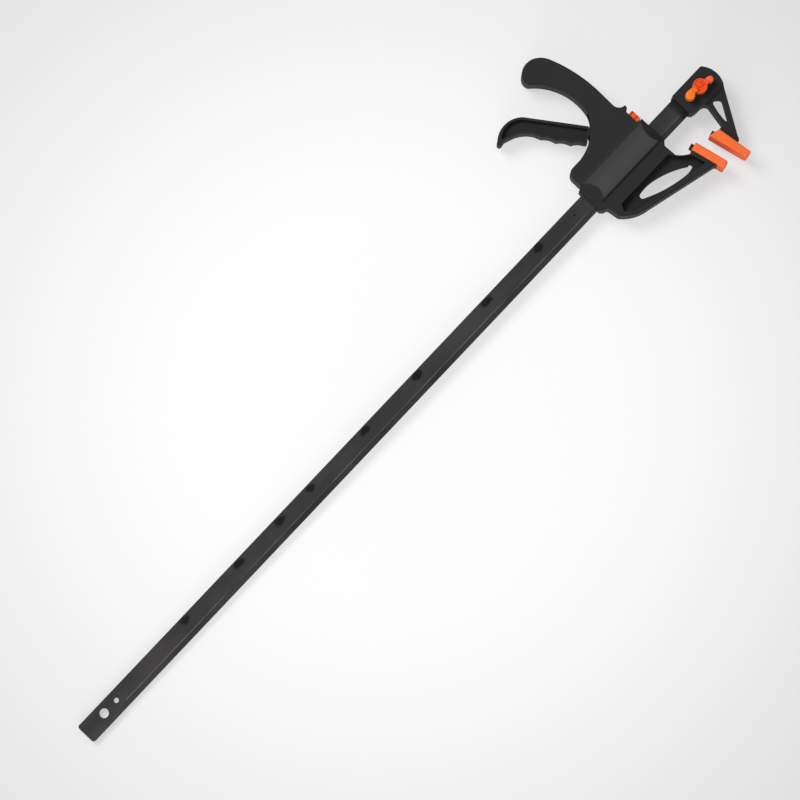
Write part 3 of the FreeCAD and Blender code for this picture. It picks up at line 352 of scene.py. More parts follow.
@dataclass(frozen=True)
class NutPlastic(Moulded):
    """The wing nut's plastic, with a painted highlight round the hub's rim, a paler small wing and a
    large wing that is paler and yellower towards its end.

    The spans are distances from the nut's centre, in millimetres.
    """

    pale: Colour = (1.0, 0.20, 0.012)
    # the colour of the painted highlight round the hub's rim, also laid on the small wing
    rim: Colour = (1.0, 0.21, 0.08)
    rim_inside: Span = (4.4, 5.4)
    rim_outside: Span = (6.6, 7.2)
    rim_highlight_share: float = 0.4
    small_wing: Span = (6, 10)
    small_wing_share: float = 0.5
    large_wing: Span = (3, 11)

    def tone_and_painted_light(self, bench: NodeBench, tint: Channel) -> Channel:
        """Paint a highlight round the hub's rim, pale the small wing, and yellow the large wing.

        Args:
            bench: the material's tree.
            tint: the colour as new.

        Returns:
            The colour as it is after handling.
        """
        x, y, _ = bench.axes()
        middle_x, middle_y = NUT_CENTRE
        out = ((x - middle_x) ** 2 + (y - middle_y) ** 2) ** 0.5
        # painted highlight round the hub's rim
        rim_highlight = out.ramp(*self.rim_inside) * (1 - out.ramp(*self.rim_outside))
        rim_highlight = rim_highlight * bench.noise(300, 2).ramp(0.3, 0.6) * self.rim_highlight_share
        small = (x - middle_x).ramp(*self.small_wing) * self.small_wing_share
        tint = bench.blend(rim_highlight.most(small), tint, self.rim)
        return bench.blend((middle_x - x).ramp(*self.large_wing), tint, self.pale)


@dataclass(frozen=True)
class BlackSteel:
    """Black oxide on drawn flat bar: fine draw lines, dull stains, a painted highlight along the
    arris, and painted shade by the collar and in a small dent.

    The places are in millimetres along and across the bar.
    """

    name: str = "black_steel"
    colour: Colour = (0.036, 0.037, 0.037)
    warm: Colour = (0.040, 0.036, 0.0365)
    wear_and_highlight: Colour = (0.15, 0.15, 0.148)
    stains: tuple[float, ...] = (128, 195, 245, 284, 352, 417, 504, 569)
    stain_line: float = 5.4
    stain_reach: Span = (6.0, 3.3)
    dimple: Span = (611, 2.3)
    dimple_reach: Span = (1.5, 1.1)
    arris_line: float = -4.7
    arris_start: Span = (44, 46)
    # where the painted shade by the collar's mouth starts and where it is full
    collar_shade_start: Span = (733, 741)

    def make(self) -> bpy.types.Material:
        """Build the material.

        Returns:
            The material.
        """
        bench = NodeBench(self.name)
        x, y, _ = bench.axes()
        lines = bench.noise(1100, 3, (0.015, 1, 1))
        cloud = bench.noise(45, 4, (0.4, 1, 1))
        stain = self.stained(bench, x, y)
        near_x = ((x - self.dimple[0]) / self.dimple_reach[0]).size() ** 2
        near_y = ((y - self.dimple[1]) / self.dimple_reach[1]).size() ** 2
        dimple = (near_x + near_y).ramp(0.5, 1.1)
        # painted shade where the bar runs into the collar, standing in for the collar's shadow
        collar_shade = x.ramp(*self.collar_shade_start)
        # painted highlight along the chamfer's arris, left off in the painted shade by the collar
        arris = (1 - (y - self.arris_line).size().ramp(0.15, 0.55)) * x.ramp(*self.arris_start)
        arris = arris * bench.noise(90, 3, (0.3, 1, 1)).ramp(0.3, 0.6) * (1 - collar_shade)
        hue = bench.noise(26, 2, (0.6, 1, 1)).ramp(0.42, 0.58)
        pale = bench.blend(hue, shade(self.colour, 1.22), shade(self.warm, 1.22))
        tint = bench.blend(cloud.ramp(0.3, 0.7), shade(self.colour, 0.8), pale)
        tint = bench.blend(stain * 0.95, tint, shade(self.colour, 0.16))
        # paint the collar's shadow dark on the bar
        tint = bench.blend(collar_shade * 0.8, tint, shade(self.colour, 0.2))
        # painted shade in the small dent
        tint = bench.blend((1 - dimple) * 0.8, tint, shade(self.colour, 0.25))
        return bench.finish(
            Base_Color=bench.blend(arris * 0.7, tint, self.wear_and_highlight),
            Specular_IOR_Level=0.1,
            Roughness=lines * 0.2 + cloud * 0.12 + 0.34 + stain * 0.1,
            Normal=bench.bump(lines * 0.5 + dimple * 0.5, 0.00004),
        )

    def stained(self, bench: NodeBench, x: Channel, y: Channel) -> Channel:
        """Mask the uneven dark stains along the bar.

        Args:
            bench: the material's tree.
            x: the place along the bar.
            y: the place across it.

        Returns:
            1 on a stain and 0 elsewhere.
        """
        long, wide = self.stain_reach
        wobble = (bench.noise(170, 3) - 0.5) * 1.4
        across = ((y - self.stain_line) / wide).size() ** 2
        reaches = ((((x - at) / long).size() ** 2 + across) ** 0.5 for at in self.stains)
        return reduce(Channel.most, [1 - (reach + wobble).ramp(0.55, 1.25) for reach in reaches])


@dataclass(frozen=True)
class Metal:
    """Bare or plated metal with fine tool marks."""

    name: str
    colour: Colour
    rough: float = 0.3

    def make(self) -> bpy.types.Material:
        """Build the material.

        Returns:
            The material.
        """
        bench = NodeBench(self.name)
        marks = bench.noise(1500, 3)
        cloud = bench.noise(120, 3)
        return bench.finish(
            Base_Color=bench.blend(cloud.ramp(0.3, 0.7), shade(self.colour, 0.85), self.colour),
            Metallic=1.0,
            Roughness=marks * 0.15 + cloud * 0.1 + (self.rough - 0.1),
            Normal=bench.bump(marks, 0.00002),
        )


@dataclass
class Palette:
    """Every finish of the clamp, by name."""

    made: dict[str, bpy.types.Material] = field(default_factory=dict)

    def mix(self) -> "Palette":
        """Build the materials.

        Returns:
            The same palette, filled.
        """
        black, wear_and_highlight = (0.0215, 0.0215, 0.0217), (0.055, 0.055, 0.055)
        pad, nut = (0.97, 0.165, 0.036), (0.78, 0.068, 0.005)
        shell_wear_and_highlight, button = (0.085, 0.084, 0.084), (0.90, 0.115, 0.022)
        satin = {"rough": 0.42, "grain_scale": 1400.0, "grain_depth": 0.00002}
        finishes = [
            BlackSteel(),
            Moulded("black_plastic", black, wear_and_highlight, rough=0.6, gloss=0.12),
            PaleSleeveShell("shell_plastic", black, shell_wear_and_highlight, rough=0.6, gloss=0.12),
            Moulded("orange_pad", pad, (1.0, 0.24, 0.08), rough=0.6, gloss=0.2),
            Moulded("orange_plastic", nut, (1.0, 0.2, 0.06), gloss=0.3, **satin),
            Moulded("button_plastic", button, (1.0, 0.25, 0.07), gloss=0.3, **satin),
            NutPlastic("nut_plastic", nut, (1.0, 0.2, 0.05), gloss=0.2, **satin),
            Metal("zinc_steel", (0.55, 0.55, 0.56)),
            Metal("plain_steel", (0.30, 0.30, 0.31), rough=0.4),
            Metal("spring_steel", (0.38, 0.38, 0.39), rough=0.35),
            Metal("brass", (0.72, 0.50, 0.20)),
        ]
        for finish in finishes:
            self.made[finish.name] = finish.make()
        return self

    def dress(self, piece: bpy.types.Object, finish: str) -> None:
        """Give a piece one finish all over."""
        piece.data.materials.clear()
        piece.data.materials.append(self.made[finish])


class Hand:
    """The modelling moves that the pieces share. Lengths are in millimetres, turns in degrees."""

    @staticmethod
    def alone(thing: bpy.types.Object) -> None:
        """Select one object and make it active."""
        bpy.ops.object.select_all(action="DESELECT")
        thing.select_set(True)
        bpy.context.view_layer.objects.active = thing

    @staticmethod
    def edit(thing: bpy.types.Object, *moves: Callable[[], Any]) -> None:
        """Run edit mode moves on the whole of one object.

        Args:
            thing: the object.
            moves: the moves, in order.
        """
        Hand.alone(thing)
        bpy.ops.object.mode_set(mode="EDIT")
        bpy.ops.mesh.select_mode(type="VERT")
        bpy.ops.mesh.select_all(action="SELECT")
        for move in moves:
            move()
        bpy.ops.object.mode_set(mode="OBJECT")

    @staticmethod
    def reshape(
        thing: bpy.types.Object,
        chosen: Callable[[bpy.types.MeshPolygon], bool],
        *moves: Callable[[], Any],
    ) -> None:
        """Run edit mode moves on the faces that a test picks.

        Args:
            thing: the object.
            chosen: the test on a face.
            moves: the moves, in order.
        """
        Hand.alone(thing)
        bpy.ops.object.mode_set(mode="EDIT")
        bpy.ops.mesh.select_mode(type="FACE")
        bpy.ops.mesh.select_all(action="DESELECT")
        bpy.ops.object.mode_set(mode="OBJECT")
        for face in thing.data.polygons:
            face.select = chosen(face)
        bpy.ops.object.mode_set(mode="EDIT")
        for move in moves:
            move()
        bpy.ops.object.mode_set(mode="OBJECT")

    @staticmethod
    def round_end(thing: bpy.types.Object, side: int, width: float, segments: int) -> None:
        """Round the rim at one end of an upright drum.

        Args:
            thing: the drum.
            side: 1 for its upper end, or -1 for its lower end.
            width: the rounding's width.
            segments: how many steps it has.
        """
        Hand.reshape(
            thing,
            lambda face: face.normal.z * side > 0.9,
            lambda: bpy.ops.mesh.bevel(offset=width * MM, segments=segments, affect="EDGES"),
        )

    @staticmethod
    def place(thing: bpy.types.Object) -> bpy.types.Object:
        """Put the object's place, turn and scale into its mesh."""
        Hand.alone(thing)
        bpy.ops.object.transform_apply(location=True, rotation=True, scale=True)
        return thing

    @staticmethod
    def drum(
        radius: float, low: float, high: float, at: Span = (0, 0), sides: int = 64
    ) -> bpy.types.Object:
        """An upright cylinder to start from.

        Args:
            radius: its radius.
            low: its lower end.
            high: its upper end.
            at: its place along X and Y.
            sides: how many sides it has.

        Returns:
            The object, its place in its mesh.
        """
        bpy.ops.object.select_all(action="DESELECT")
        bpy.ops.mesh.primitive_cylinder_add(
            vertices=sides,
            radius=radius * MM,
            depth=(high - low) * MM,
            location=(at[0] * MM, at[1] * MM, (low + high) / 2 * MM),
        )
        return Hand.place(bpy.context.object)

    @staticmethod
    def block(
        low: Sequence[float], high: Sequence[float], turn: float = 0.0
    ) -> bpy.types.Object:
        """A box between two corners, turned about Z through the origin.

        Args:
            low: its lowest corner.
            high: its highest corner.
            turn: the turn.

        Returns:
            The object, its place in its mesh.
        """
        bpy.ops.object.select_all(action="DESELECT")
        middle = [(a + b) / 2 * MM for a, b in zip(low, high)]
        bpy.ops.mesh.primitive_cube_add(size=1, location=middle)
        thing = bpy.context.object
        thing.scale = [(b - a) * MM for a, b in zip(low, high)]
        Hand.place(thing)
        thing.rotation_euler.z = math.radians(turn)
        return Hand.place(thing)

    @staticmethod
    def apply(thing: bpy.types.Object, kind: str, **settings: Any) -> None:
        """Add a modifier and apply it.

        Args:
            thing: the object.
            kind: the modifier's type.
            settings: its properties.
        """
        Hand.alone(thing)
        modifier = thing.modifiers.new(kind.title(), kind)
        for name, value in settings.items():
            setattr(modifier, name, value)
        bpy.ops.object.modifier_apply(modifier=modifier.name)

    @staticmethod
    def round_off(
        thing: bpy.types.Object, width: float, angle: float = 30, segments: int = 2
    ) -> bpy.types.Object:
        """Round every sharp edge, and keep the new faces in the second slot.

        Args:
            thing: the object.
            width: the rounding's width.
            angle: the turn from which an edge is sharp.
            segments: how many steps the rounding has.

        Returns:
            The same object.
        """
        if not thing.data.materials or thing.data.materials[0] != Hand.working("face"):
            thing.data.materials.clear()
            thing.data.materials.append(Hand.working("face"))
            thing.data.materials.append(Hand.working("arris"))
        Hand.apply(
            thing,
            "BEVEL",
            width=width * MM,
            segments=segments,
            limit_method="ANGLE",
            angle_limit=math.radians(angle),
            use_clamp_overlap=True,
            material=1,
        )
        return thing

    @staticmethod
    def working(name: str) -> bpy.types.Material:
        """A marker material for faces that are still being shaped."""
        return bpy.data.materials.get(name) or bpy.data.materials.new(name)

    @staticmethod
    def smooth(thing: bpy.types.Object, angle: float = 32) -> bpy.types.Object:
        """Smooth the shading and keep the flat faces flat.

        Args:
            thing: the object.
            angle: the turn from which an edge stays sharp.

        Returns:
            The same object.
        """
        Hand.alone(thing)
        bpy.ops.object.shade_smooth_by_angle(angle=math.radians(angle))
        Hand.apply(thing, "WEIGHTED_NORMAL", keep_sharp=True, weight=60)
        return thing

    @staticmethod
    def join(first: bpy.types.Object, *others: bpy.types.Object) -> bpy.types.Object:
        """Join meshes into the first.

        Args:
            first: the object that stays.
            others: the objects that go into it.

        Returns:
            The first object.
        """
        Hand.alone(first)
        for other in others:
            other.select_set(True)
        bpy.ops.object.join()
        return first

    @staticmethod
    def carve(thing: bpy.types.Object, tool: bpy.types.Object, way: str = "DIFFERENCE") -> None:
        """Cut one mesh with another, and drop the tool."""
        Hand.apply(thing, "BOOLEAN", object=tool, operation=way, solver="EXACT")
        bpy.data.objects.remove(tool, do_unlink=True)

    @staticmethod
    def knead(thing: bpy.types.Object, voxel: float, rounds: int) -> None:
        """Fuse overlapping lumps into one moulded skin.

        Args:
            thing: the joined lumps.
            voxel: the skin's mesh size.
            rounds: how often it is smoothed.
        """
        Hand.apply(thing, "REMESH", mode="VOXEL", voxel_size=voxel * MM, adaptivity=0.0)
        Hand.apply(thing, "SMOOTH", factor=0.5, iterations=rounds)
        Hand.alone(thing)
        bpy.ops.object.shade_smooth()

    @staticmethod
    def copy_of(node: str) -> bpy.types.Object:
        """Copy a CAD node, with its points merged and its flat faces joined up.

        Args:
            node: the node's name.

        Returns:
            The copy.
        """
        source = frame["nodes"][node]
        thing = bpy.data.objects.new(f"{node}_copy", source.data.copy())
        bpy.context.scene.collection.objects.link(thing)
        Hand.edit(
            thing,
            lambda: bpy.ops.mesh.remove_doubles(threshold=0.000004),
            lambda: bpy.ops.mesh.dissolve_limited(angle_limit=math.radians(0.6)),
        )
        return thing

    @staticmethod
    def again(thing: bpy.types.Object, spot: Sequence[float], turn: float = 0.0) -> bpy.types.Object:
        """Copy a piece with a mesh of its own.

        Args:
            thing: the piece, modelled at the origin.
            spot: the copy's place.
            turn: its turn about Z.

        Returns:
            The copy, its place in its mesh.
        """
        twin = bpy.data.objects.new(thing.name, thing.data.copy())
        bpy.context.scene.collection.objects.link(twin)
        twin.location = [v * MM for v in spot]
        twin.rotation_euler.z = math.radians(turn)
        return Hand.place(twin)


@dataclass
class SubAssembly:
    """A group of pieces that are made and dressed together."""

    palette: Palette

    def skin(
        self,
        node: str,
        ride: Ride,
        slot: str,
        width: float,
        angle: float = 32,
        segments: int = 2,
        smooth: float = 32,
        finish: str = "",
    ) -> None:
        """Put a copy of a solid with rounded edges in that solid's place.

        Args:
            node: the solid's name.
            ride: the body that carries it.
            slot: the material slot that it takes its finish from.
            width: the rounding's width.
            angle: the turn from which an edge is rounded.
            segments: how many steps the rounding has.
            smooth: the turn from which an edge stays sharp in the shading.
            finish: its finish, where that isn't the slot's own.
        """
        piece = Hand.round_off(Hand.copy_of(node), width, angle, segments)
        self.settle(Hand.smooth(piece, smooth), f"{node}_skin", ride, slot, [node], finish)

    def settle(
        self,
        thing: bpy.types.Object,
        name: str,
        ride: Ride,
        slot: str,
        stands_for: Sequence[str],
        finish: str = "",
        pressed: Optional[tuple[Ride, float, float]] = None,
    ) -> None:
        """Name and dress a finished piece, put it on its body or, when it is pressed, bake it in
        place, and report it.

        Args:
            thing: the finished mesh object.
            name: its name.
            ride: the body that carries it.
            slot: the material slot that it takes its finish from.
            stands_for: the solids that it replaces.
            finish: its finish, where that isn't the slot's own.
            pressed: for a spring, the body that presses its front end and the places along X where
                its own body lets go of it and where that body takes over;
                when it is given, the piece is baked in place and put on no body, and these values are
                not read.
        """
        thing.name = name
        thing.data.name = name
        # mark the rounded faces, where edge wear and a painted highlight go
        rub = thing.data.attributes.new("rub", "FLOAT", "FACE")
        for face in thing.data.polygons:
            rub.data[face.index].value = float(face.material_index == 1)
            face.material_index = 0
        self.palette.dress(thing, finish or slot)
        if pressed:
            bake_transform(thing)
        else:
            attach(thing, ride.value)
        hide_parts(*stands_for)
        log.info("%s: %d faces on %s", name, len(thing.data.polygons), ride.value)


@dataclass
class BarAndJaw(SubAssembly):
    """The bar with the fixed jaw and its bolt."""

    arris: float = 0.35
    bar_angle: float = 12
    jaw_edge: float = 0.7
    jaw_angle: float = 40
    bolt_spot: Point = (*NUT_CENTRE, -10.5)
    bolt_across: float = 5.77
    bolt_head: float = 4.0
    head_round: float = 0.9
    head_edge: float = 0.15
    bolt_shank: float = 3.0
    shank_sunk: float = 0.5
    shank_edge: float = 0.5
    bolt_top: float = 29.5

    def build(self) -> None:
        """Make the bar, the jaw and the bolt."""
        turn = self.bar_angle
        self.skin("bar", Ride.ROOT, "black_steel", self.arris, turn, smooth=turn)
        self.skin("fixed_jaw", Ride.ROOT, "black_plastic", self.jaw_edge, self.jaw_angle, 3)
        self.bolt()

    def bolt(self) -> None:
        """The jaw's bolt: a chamfered hexagon head on a plain shank."""
        head = Hand.drum(self.bolt_across, 0, self.bolt_head, sides=6)
        turner = Hand.drum(self.bolt_across, 0, self.bolt_head)
        Hand.round_end(turner, -1, self.head_round, 2)
        Hand.carve(head, turner, "INTERSECT")
        Hand.round_off(head, self.head_edge, 35)
        low = self.bolt_head - self.shank_sunk
        shank = Hand.drum(self.bolt_shank, low, self.bolt_top, sides=48)
        Hand.round_off(shank, self.shank_edge, 60)
        bolt = Hand.again(Hand.join(head, shank), self.bolt_spot)
        bpy.data.objects.remove(head, do_unlink=True)
        Hand.smooth(bolt)
        self.settle(bolt, "jaw_bolt_piece", Ride.ROOT, "zinc_steel", ["jaw_bolt"])


@dataclass(frozen=True)
class Wing:
    """One wing's sizes: a lobe at a reach along X, and a neck from its start to the lobe."""

    reach: float
    radius: float
    neck: Span
    start: float


@dataclass
class WingNut(SubAssembly):
    """The moulded wing nut: a dished hub with a rib, a small wing and a large one."""

    spot: Point = (*NUT_CENTRE, 11.8)
    turn: float = -7.0
    hub: float = 6.4
    hub_top: float = 9.6
    hub_edge: float = 0.35
    rim: float = 0.95
    dish: float = 1.1
    root: float = 4.0
    stud: float = 1.35
    stud_sunk: float = 0.1
    rib: tuple[Span, Span] = ((1.0, -1.05), (7.5, 0.45))
    rib_rise: float = 0.2
    rib_turn: float = 2
    slot: tuple[Span, Span] = ((1.9, 0.75), (5.3, 2.15))
    slot_depth: float = 1.75
    slot_turn: float = 6
    lump_edge: float = 0.4
    small: Wing = Wing(reach=10.0, radius=2.9, neck=(-3.1, 1.9), start=4.0)
    large: Wing = Wing(reach=-12.1, radius=4.2, neck=(-2.4, 3.1), start=3.0)
    wing_line: float = -1.2
    wing_low: float = 1.7
    wing_high: float = 11.8
    lobe_round: float = 1.5
    neck_sunk: float = 0.6
    neck_edge: float = 0.8
    skin_mesh: float = 0.3
    skin_rounds: int = 3
    bore: float = 4.5
    bore_top: float = 7.45
    clear: Span = (-2, 20)

    def build(self) -> None:
        """Model the lumps, fuse them, and cut the slot and the bore."""
        hub = self.dished_hub()
        stud = Hand.drum(self.stud, self.root, self.hub_top - self.stud_sunk, sides=32)
        Hand.round_off(stud, self.lump_edge, 40)
        low, high = self.rib
        top = self.hub_top + self.rib_rise
        rib = Hand.block((*low, self.root), (*high, top), self.rib_turn)
        low, high = self.slot
        floor = self.hub_top - self.slot_depth
        slot = Hand.block((*low, floor), (*high, self.clear[1]), self.slot_turn)
        wings = [self.wing(self.small), self.wing(self.large)]
        nut = Hand.join(hub, stud, Hand.round_off(rib, self.lump_edge), *wings)
        Hand.knead(nut, self.skin_mesh, self.skin_rounds)
        Hand.carve(nut, slot)
        Hand.carve(nut, Hand.drum(self.bore, self.clear[0], self.bore_top, sides=48))
        piece = Hand.again(nut, self.spot, self.turn)
        bpy.data.objects.remove(nut, do_unlink=True)
        Hand.smooth(piece, 40)
        self.settle(
            piece, "wing_nut_piece", Ride.NUT, "orange_plastic", ["wing_nut"], "nut_plastic"
        )

    def dished_hub(self) -> bpy.types.Object:
        """The hub, with a raised rim round its top.

        Returns:
            The hub.
        """
        hub = Hand.drum(self.hub, 0, self.hub_top)
        Hand.reshape(
            hub,
            lambda face: face.normal.z > 0.9,
            lambda: bpy.ops.mesh.inset(thickness=self.rim * MM),
            lambda: bpy.ops.mesh.extrude_region_move(
                TRANSFORM_OT_translate={"value": (0, 0, -self.dish * MM)}
            ),
        )
        return Hand.round_off(hub, self.hub_edge, 40)

    def wing(self, size: Wing) -> bpy.types.Object:
        """One wing: a neck that ends in a round lobe.

        Args:
            size: the wing's sizes.

        Returns:
            The wing.
        """
        middle = (size.reach, self.wing_line)
        lobe = Hand.drum(size.radius, self.wing_low, self.wing_high, middle, 48)
        Hand.round_end(lobe, 1, self.lobe_round, 4)
        ends = sorted((math.copysign(size.start, size.reach), size.reach))
        low = (ends[0], size.neck[0], self.wing_low)
        high = (ends[1], size.neck[1], self.wing_high - self.neck_sunk)
        return Hand.join(lobe, Hand.round_off(Hand.block(low, high), self.neck_edge, 30, 3))


@dataclass
class ReleaseButton(SubAssembly):
    """The release button: a crowned front plate on a ribbed stem.

    Places along X are from the body's rear end.
    """

    front: float = 85.2
    neck: float = 83.1
    back: float = 72.4
    overlap: float = 0.5
    stem: Span = (18.2, 28.3)
    stem_depth: float = 6.2
    stem_edge: float = 0.2
    grooves: tuple[Span, ...] = ((20.4, 22.0), (25.0, 27.3))
    groove_back: float = 77.5
    groove_past: float = 0.1
    groove_depth: Span = (4.4, 8.0)
    groove_edge: float = 0.3
    plate: Span = (17.5, 28.6)
    plate_depth: float = 7.6
    plate_edge: float = 0.6
    crown: float = 0.3
    crown_middle: float = 23.05
    crown_reach: Span = (5.6, 7.6)

    def build(self) -> None:
        """Model the plate and the stem, and cut the cavity for the brake plate's tongue."""
        x = BODY_REAR
        stem = Hand.block(
            (x + self.back, self.stem[0], -self.stem_depth),
            (x + self.neck + self.overlap, self.stem[1], self.stem_depth),
        )
        inner, outer = self.groove_depth
        for low, high in self.grooves:
            for side in (-1, 1):
                ends = sorted((side * inner, side * outer))
                start = (x + self.groove_back, low, ends[0])
                end = (x + self.neck + self.groove_past, high, ends[1])
                Hand.carve(stem, Hand.round_off(Hand.block(start, end), self.groove_edge))
        plate = self.crowned_plate()
        Hand.round_off(plate, self.plate_edge, 50, 3)
        tongue = Hand.copy_of("brake_plate")
        Hand.round_off(stem, self.stem_edge, 50)
        button = Hand.join(stem, plate)
        Hand.carve(button, tongue)
        self.settle(
            Hand.smooth(button),
            "release_button_piece",
            Ride.BRAKE,
            "orange_plastic",
            ["release_button"],
            "button_plastic",
        )

    def crowned_plate(self) -> bpy.types.Object:
        """The front plate, whose face drops away from its middle.

        Returns:
            The plate.
        """
        x = BODY_REAR
        plate = Hand.block(
            (x + self.neck, self.plate[0], -self.plate_depth),
            (x + self.front, self.plate[1], self.plate_depth),
        )
        Hand.edit(plate, lambda: bpy.ops.mesh.subdivide(number_cuts=5))
        face = (x + self.front - 0.1) * MM
        middle, (reach_y, reach_z) = self.crown_middle * MM, self.crown_reach
        for vertex in plate.data.vertices:
            if vertex.co.x > face:
                off_y = (vertex.co.y - middle) / (reach_y * MM)
                off_z = vertex.co.z / (reach_z * MM)
                vertex.co.x -= self.crown * MM * (off_y ** 2 + off_z ** 2)
        return plate


@dataclass
class SlidingBody(SubAssembly):
    """The two shells with their screws and springs.

    Each screw has its place along X from the body's rear end, and its place along Y.
    """

    edge: float = 0.3
    screws: tuple[tuple[str, float, float], ...] = (
        ("grip_end", 50.0165, 110.208),
        ("grip_root", 65.965, 47.97),
        ("rear_top", 13.026, 26.445),
        ("rear_low", 14.028, -17.4042),
        ("front_low", 72.979, -17.4042),
        ("jaw_tip", 89.512, -51.8024),
    )
    screw_face: float = -10.6
    head_radius: float = 2.6
    head_height: float = 2.2
    head_round: float = 0.5
    head_edge: float = 0.1
    socket_radius: float = 1.3
    socket_depth: float = 1.2
    shank_radius: float = 1.5
    shank: Span = (2.0, 15.6)
    shank_edge: float = 0.4

    def build(self) -> None:
        """Make the shells, screws and springs."""
        for node in ("near_shell", "far_shell"):
            self.skin(node, Ride.CARRIAGE, "black_plastic", self.edge, finish="shell_plastic")
        self.fasten()
        self.spring("drive_spring", Ride.PLATES, radius=11.1, wire=1.4, turns=5.5, steps=64)
        self.spring("brake_spring", Ride.BRAKE, radius=3.0, wire=0.8, turns=7.5, steps=32)

    def fasten(self) -> None:
        """Model one socket screw and set a copy in each hole."""
        head = Hand.drum(self.head_radius, 0, self.head_height, sides=48)
        Hand.round_end(head, -1, self.head_round, 3)
        Hand.carve(head, Hand.drum(self.socket_radius, -1, self.socket_depth, sides=6))
        Hand.round_off(head, self.head_edge, 50)
        shank = Hand.drum(self.shank_radius, *self.shank, sides=32)
        pattern = Hand.join(head, Hand.round_off(shank, self.shank_edge, 60))
        for name, along, across in self.screws:
            screw = Hand.again(pattern, (BODY_REAR + along, across, self.screw_face), along)
            Hand.smooth(screw)
            node = f"screw_{name}"
            self.settle(screw, f"{node}_piece", Ride.CARRIAGE, "zinc_steel", [node])
        bpy.data.objects.remove(pattern, do_unlink=True)

    def spring(
        self, node: str, pressed_by: Ride, radius: float, wire: float, turns: float, steps: int
    ) -> None:
        """Wind one spring in the place of its solid, its front end on the plate that presses it.

        Args:
            node: the solid's name.
            pressed_by: the body that presses its front end; it is handed on to settle, which does not
                make the end follow it.
            radius: the winding's mean radius.
            wire: the wire's diameter.
            turns: how many turns it has.
            steps: sections to a turn.
        """
        low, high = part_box(node)
        length = high.x - low.x - wire * MM
        bpy.ops.object.select_all(action="DESELECT")
        bpy.ops.mesh.primitive_circle_add(vertices=20, radius=wire / 2 * MM, fill_type="NGON")
        coil = bpy.context.object
        coil.rotation_euler.y = math.atan(length / turns / (2 * math.pi * radius * MM))
        Hand.place(coil)
        coil.location = (0, radius * MM, 0)
        Hand.place(coil)
        Hand.apply(
            coil,
            "SCREW",
            axis="X",
            angle=turns * 2 * math.pi,
            screw_offset=length,
            steps=round(turns * steps),
            render_steps=round(turns * steps),
        )
        Hand.edit(
            coil,
            lambda: bpy.ops.mesh.remove_doubles(threshold=0.000002),
            lambda: bpy.ops.mesh.select_all(action="DESELECT"),
            lambda: bpy.ops.mesh.select_non_manifold(),
            lambda: bpy.ops.mesh.fill_holes(sides=0),
            lambda: bpy.ops.mesh.select_all(action="SELECT"),
            lambda: bpy.ops.mesh.normals_make_consistent(inside=False),
        )
        coil.location = (low.x + wire / 2 * MM, (low.y + high.y) / 2, 0)
        Hand.place(coil)
        Hand.smooth(coil, 50)
        ends = (pressed_by, low.x + wire * MM, high.x - wire * MM)
        name = f"{node}_piece"
        self.settle(coil, name, Ride.CARRIAGE, "spring_steel", [node], pressed=ends)


@dataclass
class Pads(SubAssembly):
    """The two soft pads that slip over the jaws' tongues."""

    corner: float = 1.2

    def build(self) -> None:
        """Round each pad well all over."""
        for node, ride in (("fixed_jaw_pad", Ride.ROOT), ("moving_jaw_pad", Ride.CARRIAGE)):
            self.skin(node, ride, "orange_pad", self.corner, angle=40, segments=4)


@dataclass
class Trigger(SubAssembly):
    """The squeeze lever."""

    edge: float = 0.55

    def build(self) -> None:
        """Round the lever's edges."""
        self.skin("trigger", Ride.TRIGGER, "black_plastic", self.edge, segments=3)


@dataclass
class Inside(SubAssembly):
    """The plain solids whose shape is already right."""

    def build(self) -> None:
        """Dress every solid that nothing stands for."""
        for row in frame["record"]["subparts"]:
            thing = frame["nodes"][row["node"]]
            if not thing.hide_render:
                self.palette.dress(thing, row["material_slot"])


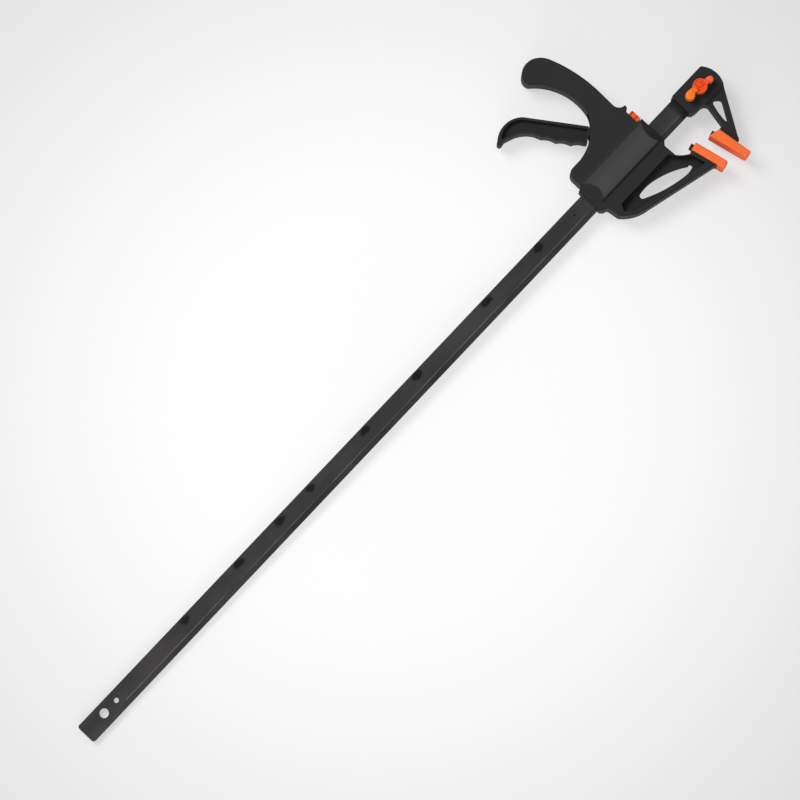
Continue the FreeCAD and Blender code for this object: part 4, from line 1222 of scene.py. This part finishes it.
@dataclass
class Studio:
    """The photograph's camera, a pale sweep and soft lights."""

    spot: Point = (0.16457, -0.21234, 3.18473)
    turn: float = 46.663
    lean: float = 5.6
    lens: float = 167.76
    sensor: float = 36.0
    sweep_size: float = 8.0
    sweep_slope: float = 0.01992
    sweep_start: float = -0.00325
    sweep_colour: Colour = (0.82, 0.82, 0.82)
    glow_middle: float = 392
    glow_reach: Span = (150, 560)
    glow_inside: Colour = (1.0, 1.0, 1.0)
    glow_outside: Colour = (0.64, 0.64, 0.645)
    glow_strength: float = 1.08
    glow_share: float = 0.6
    room_strength: float = 0.42

    def camera(self) -> None:
        """Set up the camera at the photograph's angle."""
        data = bpy.data.cameras.new("camera")
        data.lens = self.lens
        data.sensor_width = self.sensor
        data.sensor_fit = "HORIZONTAL"
        data.clip_end = 50.0
        eye = bpy.data.objects.new("camera", data)
        bpy.context.scene.collection.objects.link(eye)
        turn, lean = math.radians(self.turn), math.radians(self.lean)
        flat_up = Vector((math.sin(turn), math.cos(turn), 0))
        right = Vector((math.cos(turn), -math.sin(turn), 0))
        back = Vector((0, 0, math.cos(lean))) - flat_up * math.sin(lean)
        up = flat_up * math.cos(lean) + Vector((0, 0, math.sin(lean)))
        basis = Matrix((right, up, back)).transposed().to_4x4()
        eye.matrix_world = Matrix.Translation(self.spot) @ basis
        bpy.context.scene.camera = eye

    def sweep(self) -> None:
        """Lay the pale floor under the clamp, touching the bar's end and the sleeve."""
        bpy.ops.object.select_all(action="DESELECT")
        bpy.ops.mesh.primitive_plane_add(size=self.sweep_size)
        floor = bpy.context.object
        floor.name = "sweep"
        angle = math.atan(self.sweep_slope)
        lie = Matrix.Rotation(angle, 4, "Y")
        floor.matrix_world = Matrix.Translation((0, 0, self.sweep_start)) @ lie
        floor.data.materials.append(self.pale_floor())

    def pale_floor(self) -> bpy.types.Material:
        """The floor's material: matt, with a glow of its own that fades outwards.

        Returns:
            The material.
        """
        bench = NodeBench("sweep")
        path = bench.add("ShaderNodeLightPath", {}, {}, "Is Camera Ray").socket.node
        seen = Channel(bench, path.outputs["Is Camera Ray"])
        for ray in ("Is Glossy Ray", "Is Transmission Ray"):
            seen = seen.most(Channel(bench, path.outputs[ray]))
        matt = bench.add("ShaderNodeBsdfDiffuse", {}, {"Color": self.sweep_colour})
        x, y, _ = bench.axes()
        away = ((x - self.glow_middle) ** 2 + y ** 2) ** 0.5
        white = bench.blend(away.ramp(*self.glow_reach), self.glow_inside, self.glow_outside)
        inputs = {"Color": white, "Strength": self.glow_strength}
        glow = bench.add("ShaderNodeEmission", {}, inputs)
        shares = {0: seen * self.glow_share, 1: matt, 2: glow}
        return bench.close(bench.add("ShaderNodeMixShader", {}, shares))

    def lamp(self, name: str, spot: Point, aim: Point, size: float, power: float) -> None:
        """Add a square soft light.

        Args:
            name: the lamp's name.
            spot: where it stands, in metres.
            aim: the point that it faces.
            size: its side, in metres.
            power: its power, in watts.
        """
        data = bpy.data.lights.new(name, "AREA")
        data.size = size
        data.energy = power
        thing = bpy.data.objects.new(name, data)
        bpy.context.scene.collection.objects.link(thing)
        thing.location = spot
        way = Vector(aim) - Vector(spot)
        thing.rotation_euler = way.to_track_quat("-Z", "Y").to_euler()

    def light(self) -> None:
        """Light the clamp softly from above and from the grip's side."""
        world = bpy.data.worlds.new("room")
        bpy.context.scene.world = world
        world.use_nodes = True
        room = world.node_tree.nodes["Background"]
        room.inputs["Color"].default_value = (1.0, 1.0, 1.0, 1.0)
        room.inputs["Strength"].default_value = self.room_strength
        self.lamp("key", (0.3, 1.7, 2.8), (0.45, 0, 0), size=1.3, power=66)
        self.lamp("fill", (-1.0, -0.8, 0.9), (0.7, 0, 0), size=1.0, power=9)
        bpy.context.scene.view_settings.view_transform = "Standard"

    def build(self) -> None:
        """Set up camera, floor and lights."""
        self.camera()
        self.sweep()
        self.light()


def main() -> None:
    """Build the clamp's pieces in order."""
    logging.basicConfig(level=logging.INFO, format="%(name)s %(message)s")
    Studio().build()
    palette = Palette().mix()
    for group in (BarAndJaw, WingNut, ReleaseButton, SlidingBody, Pads, Trigger, Inside):
        group(palette).build()


if __name__ == "__main__":
    main()
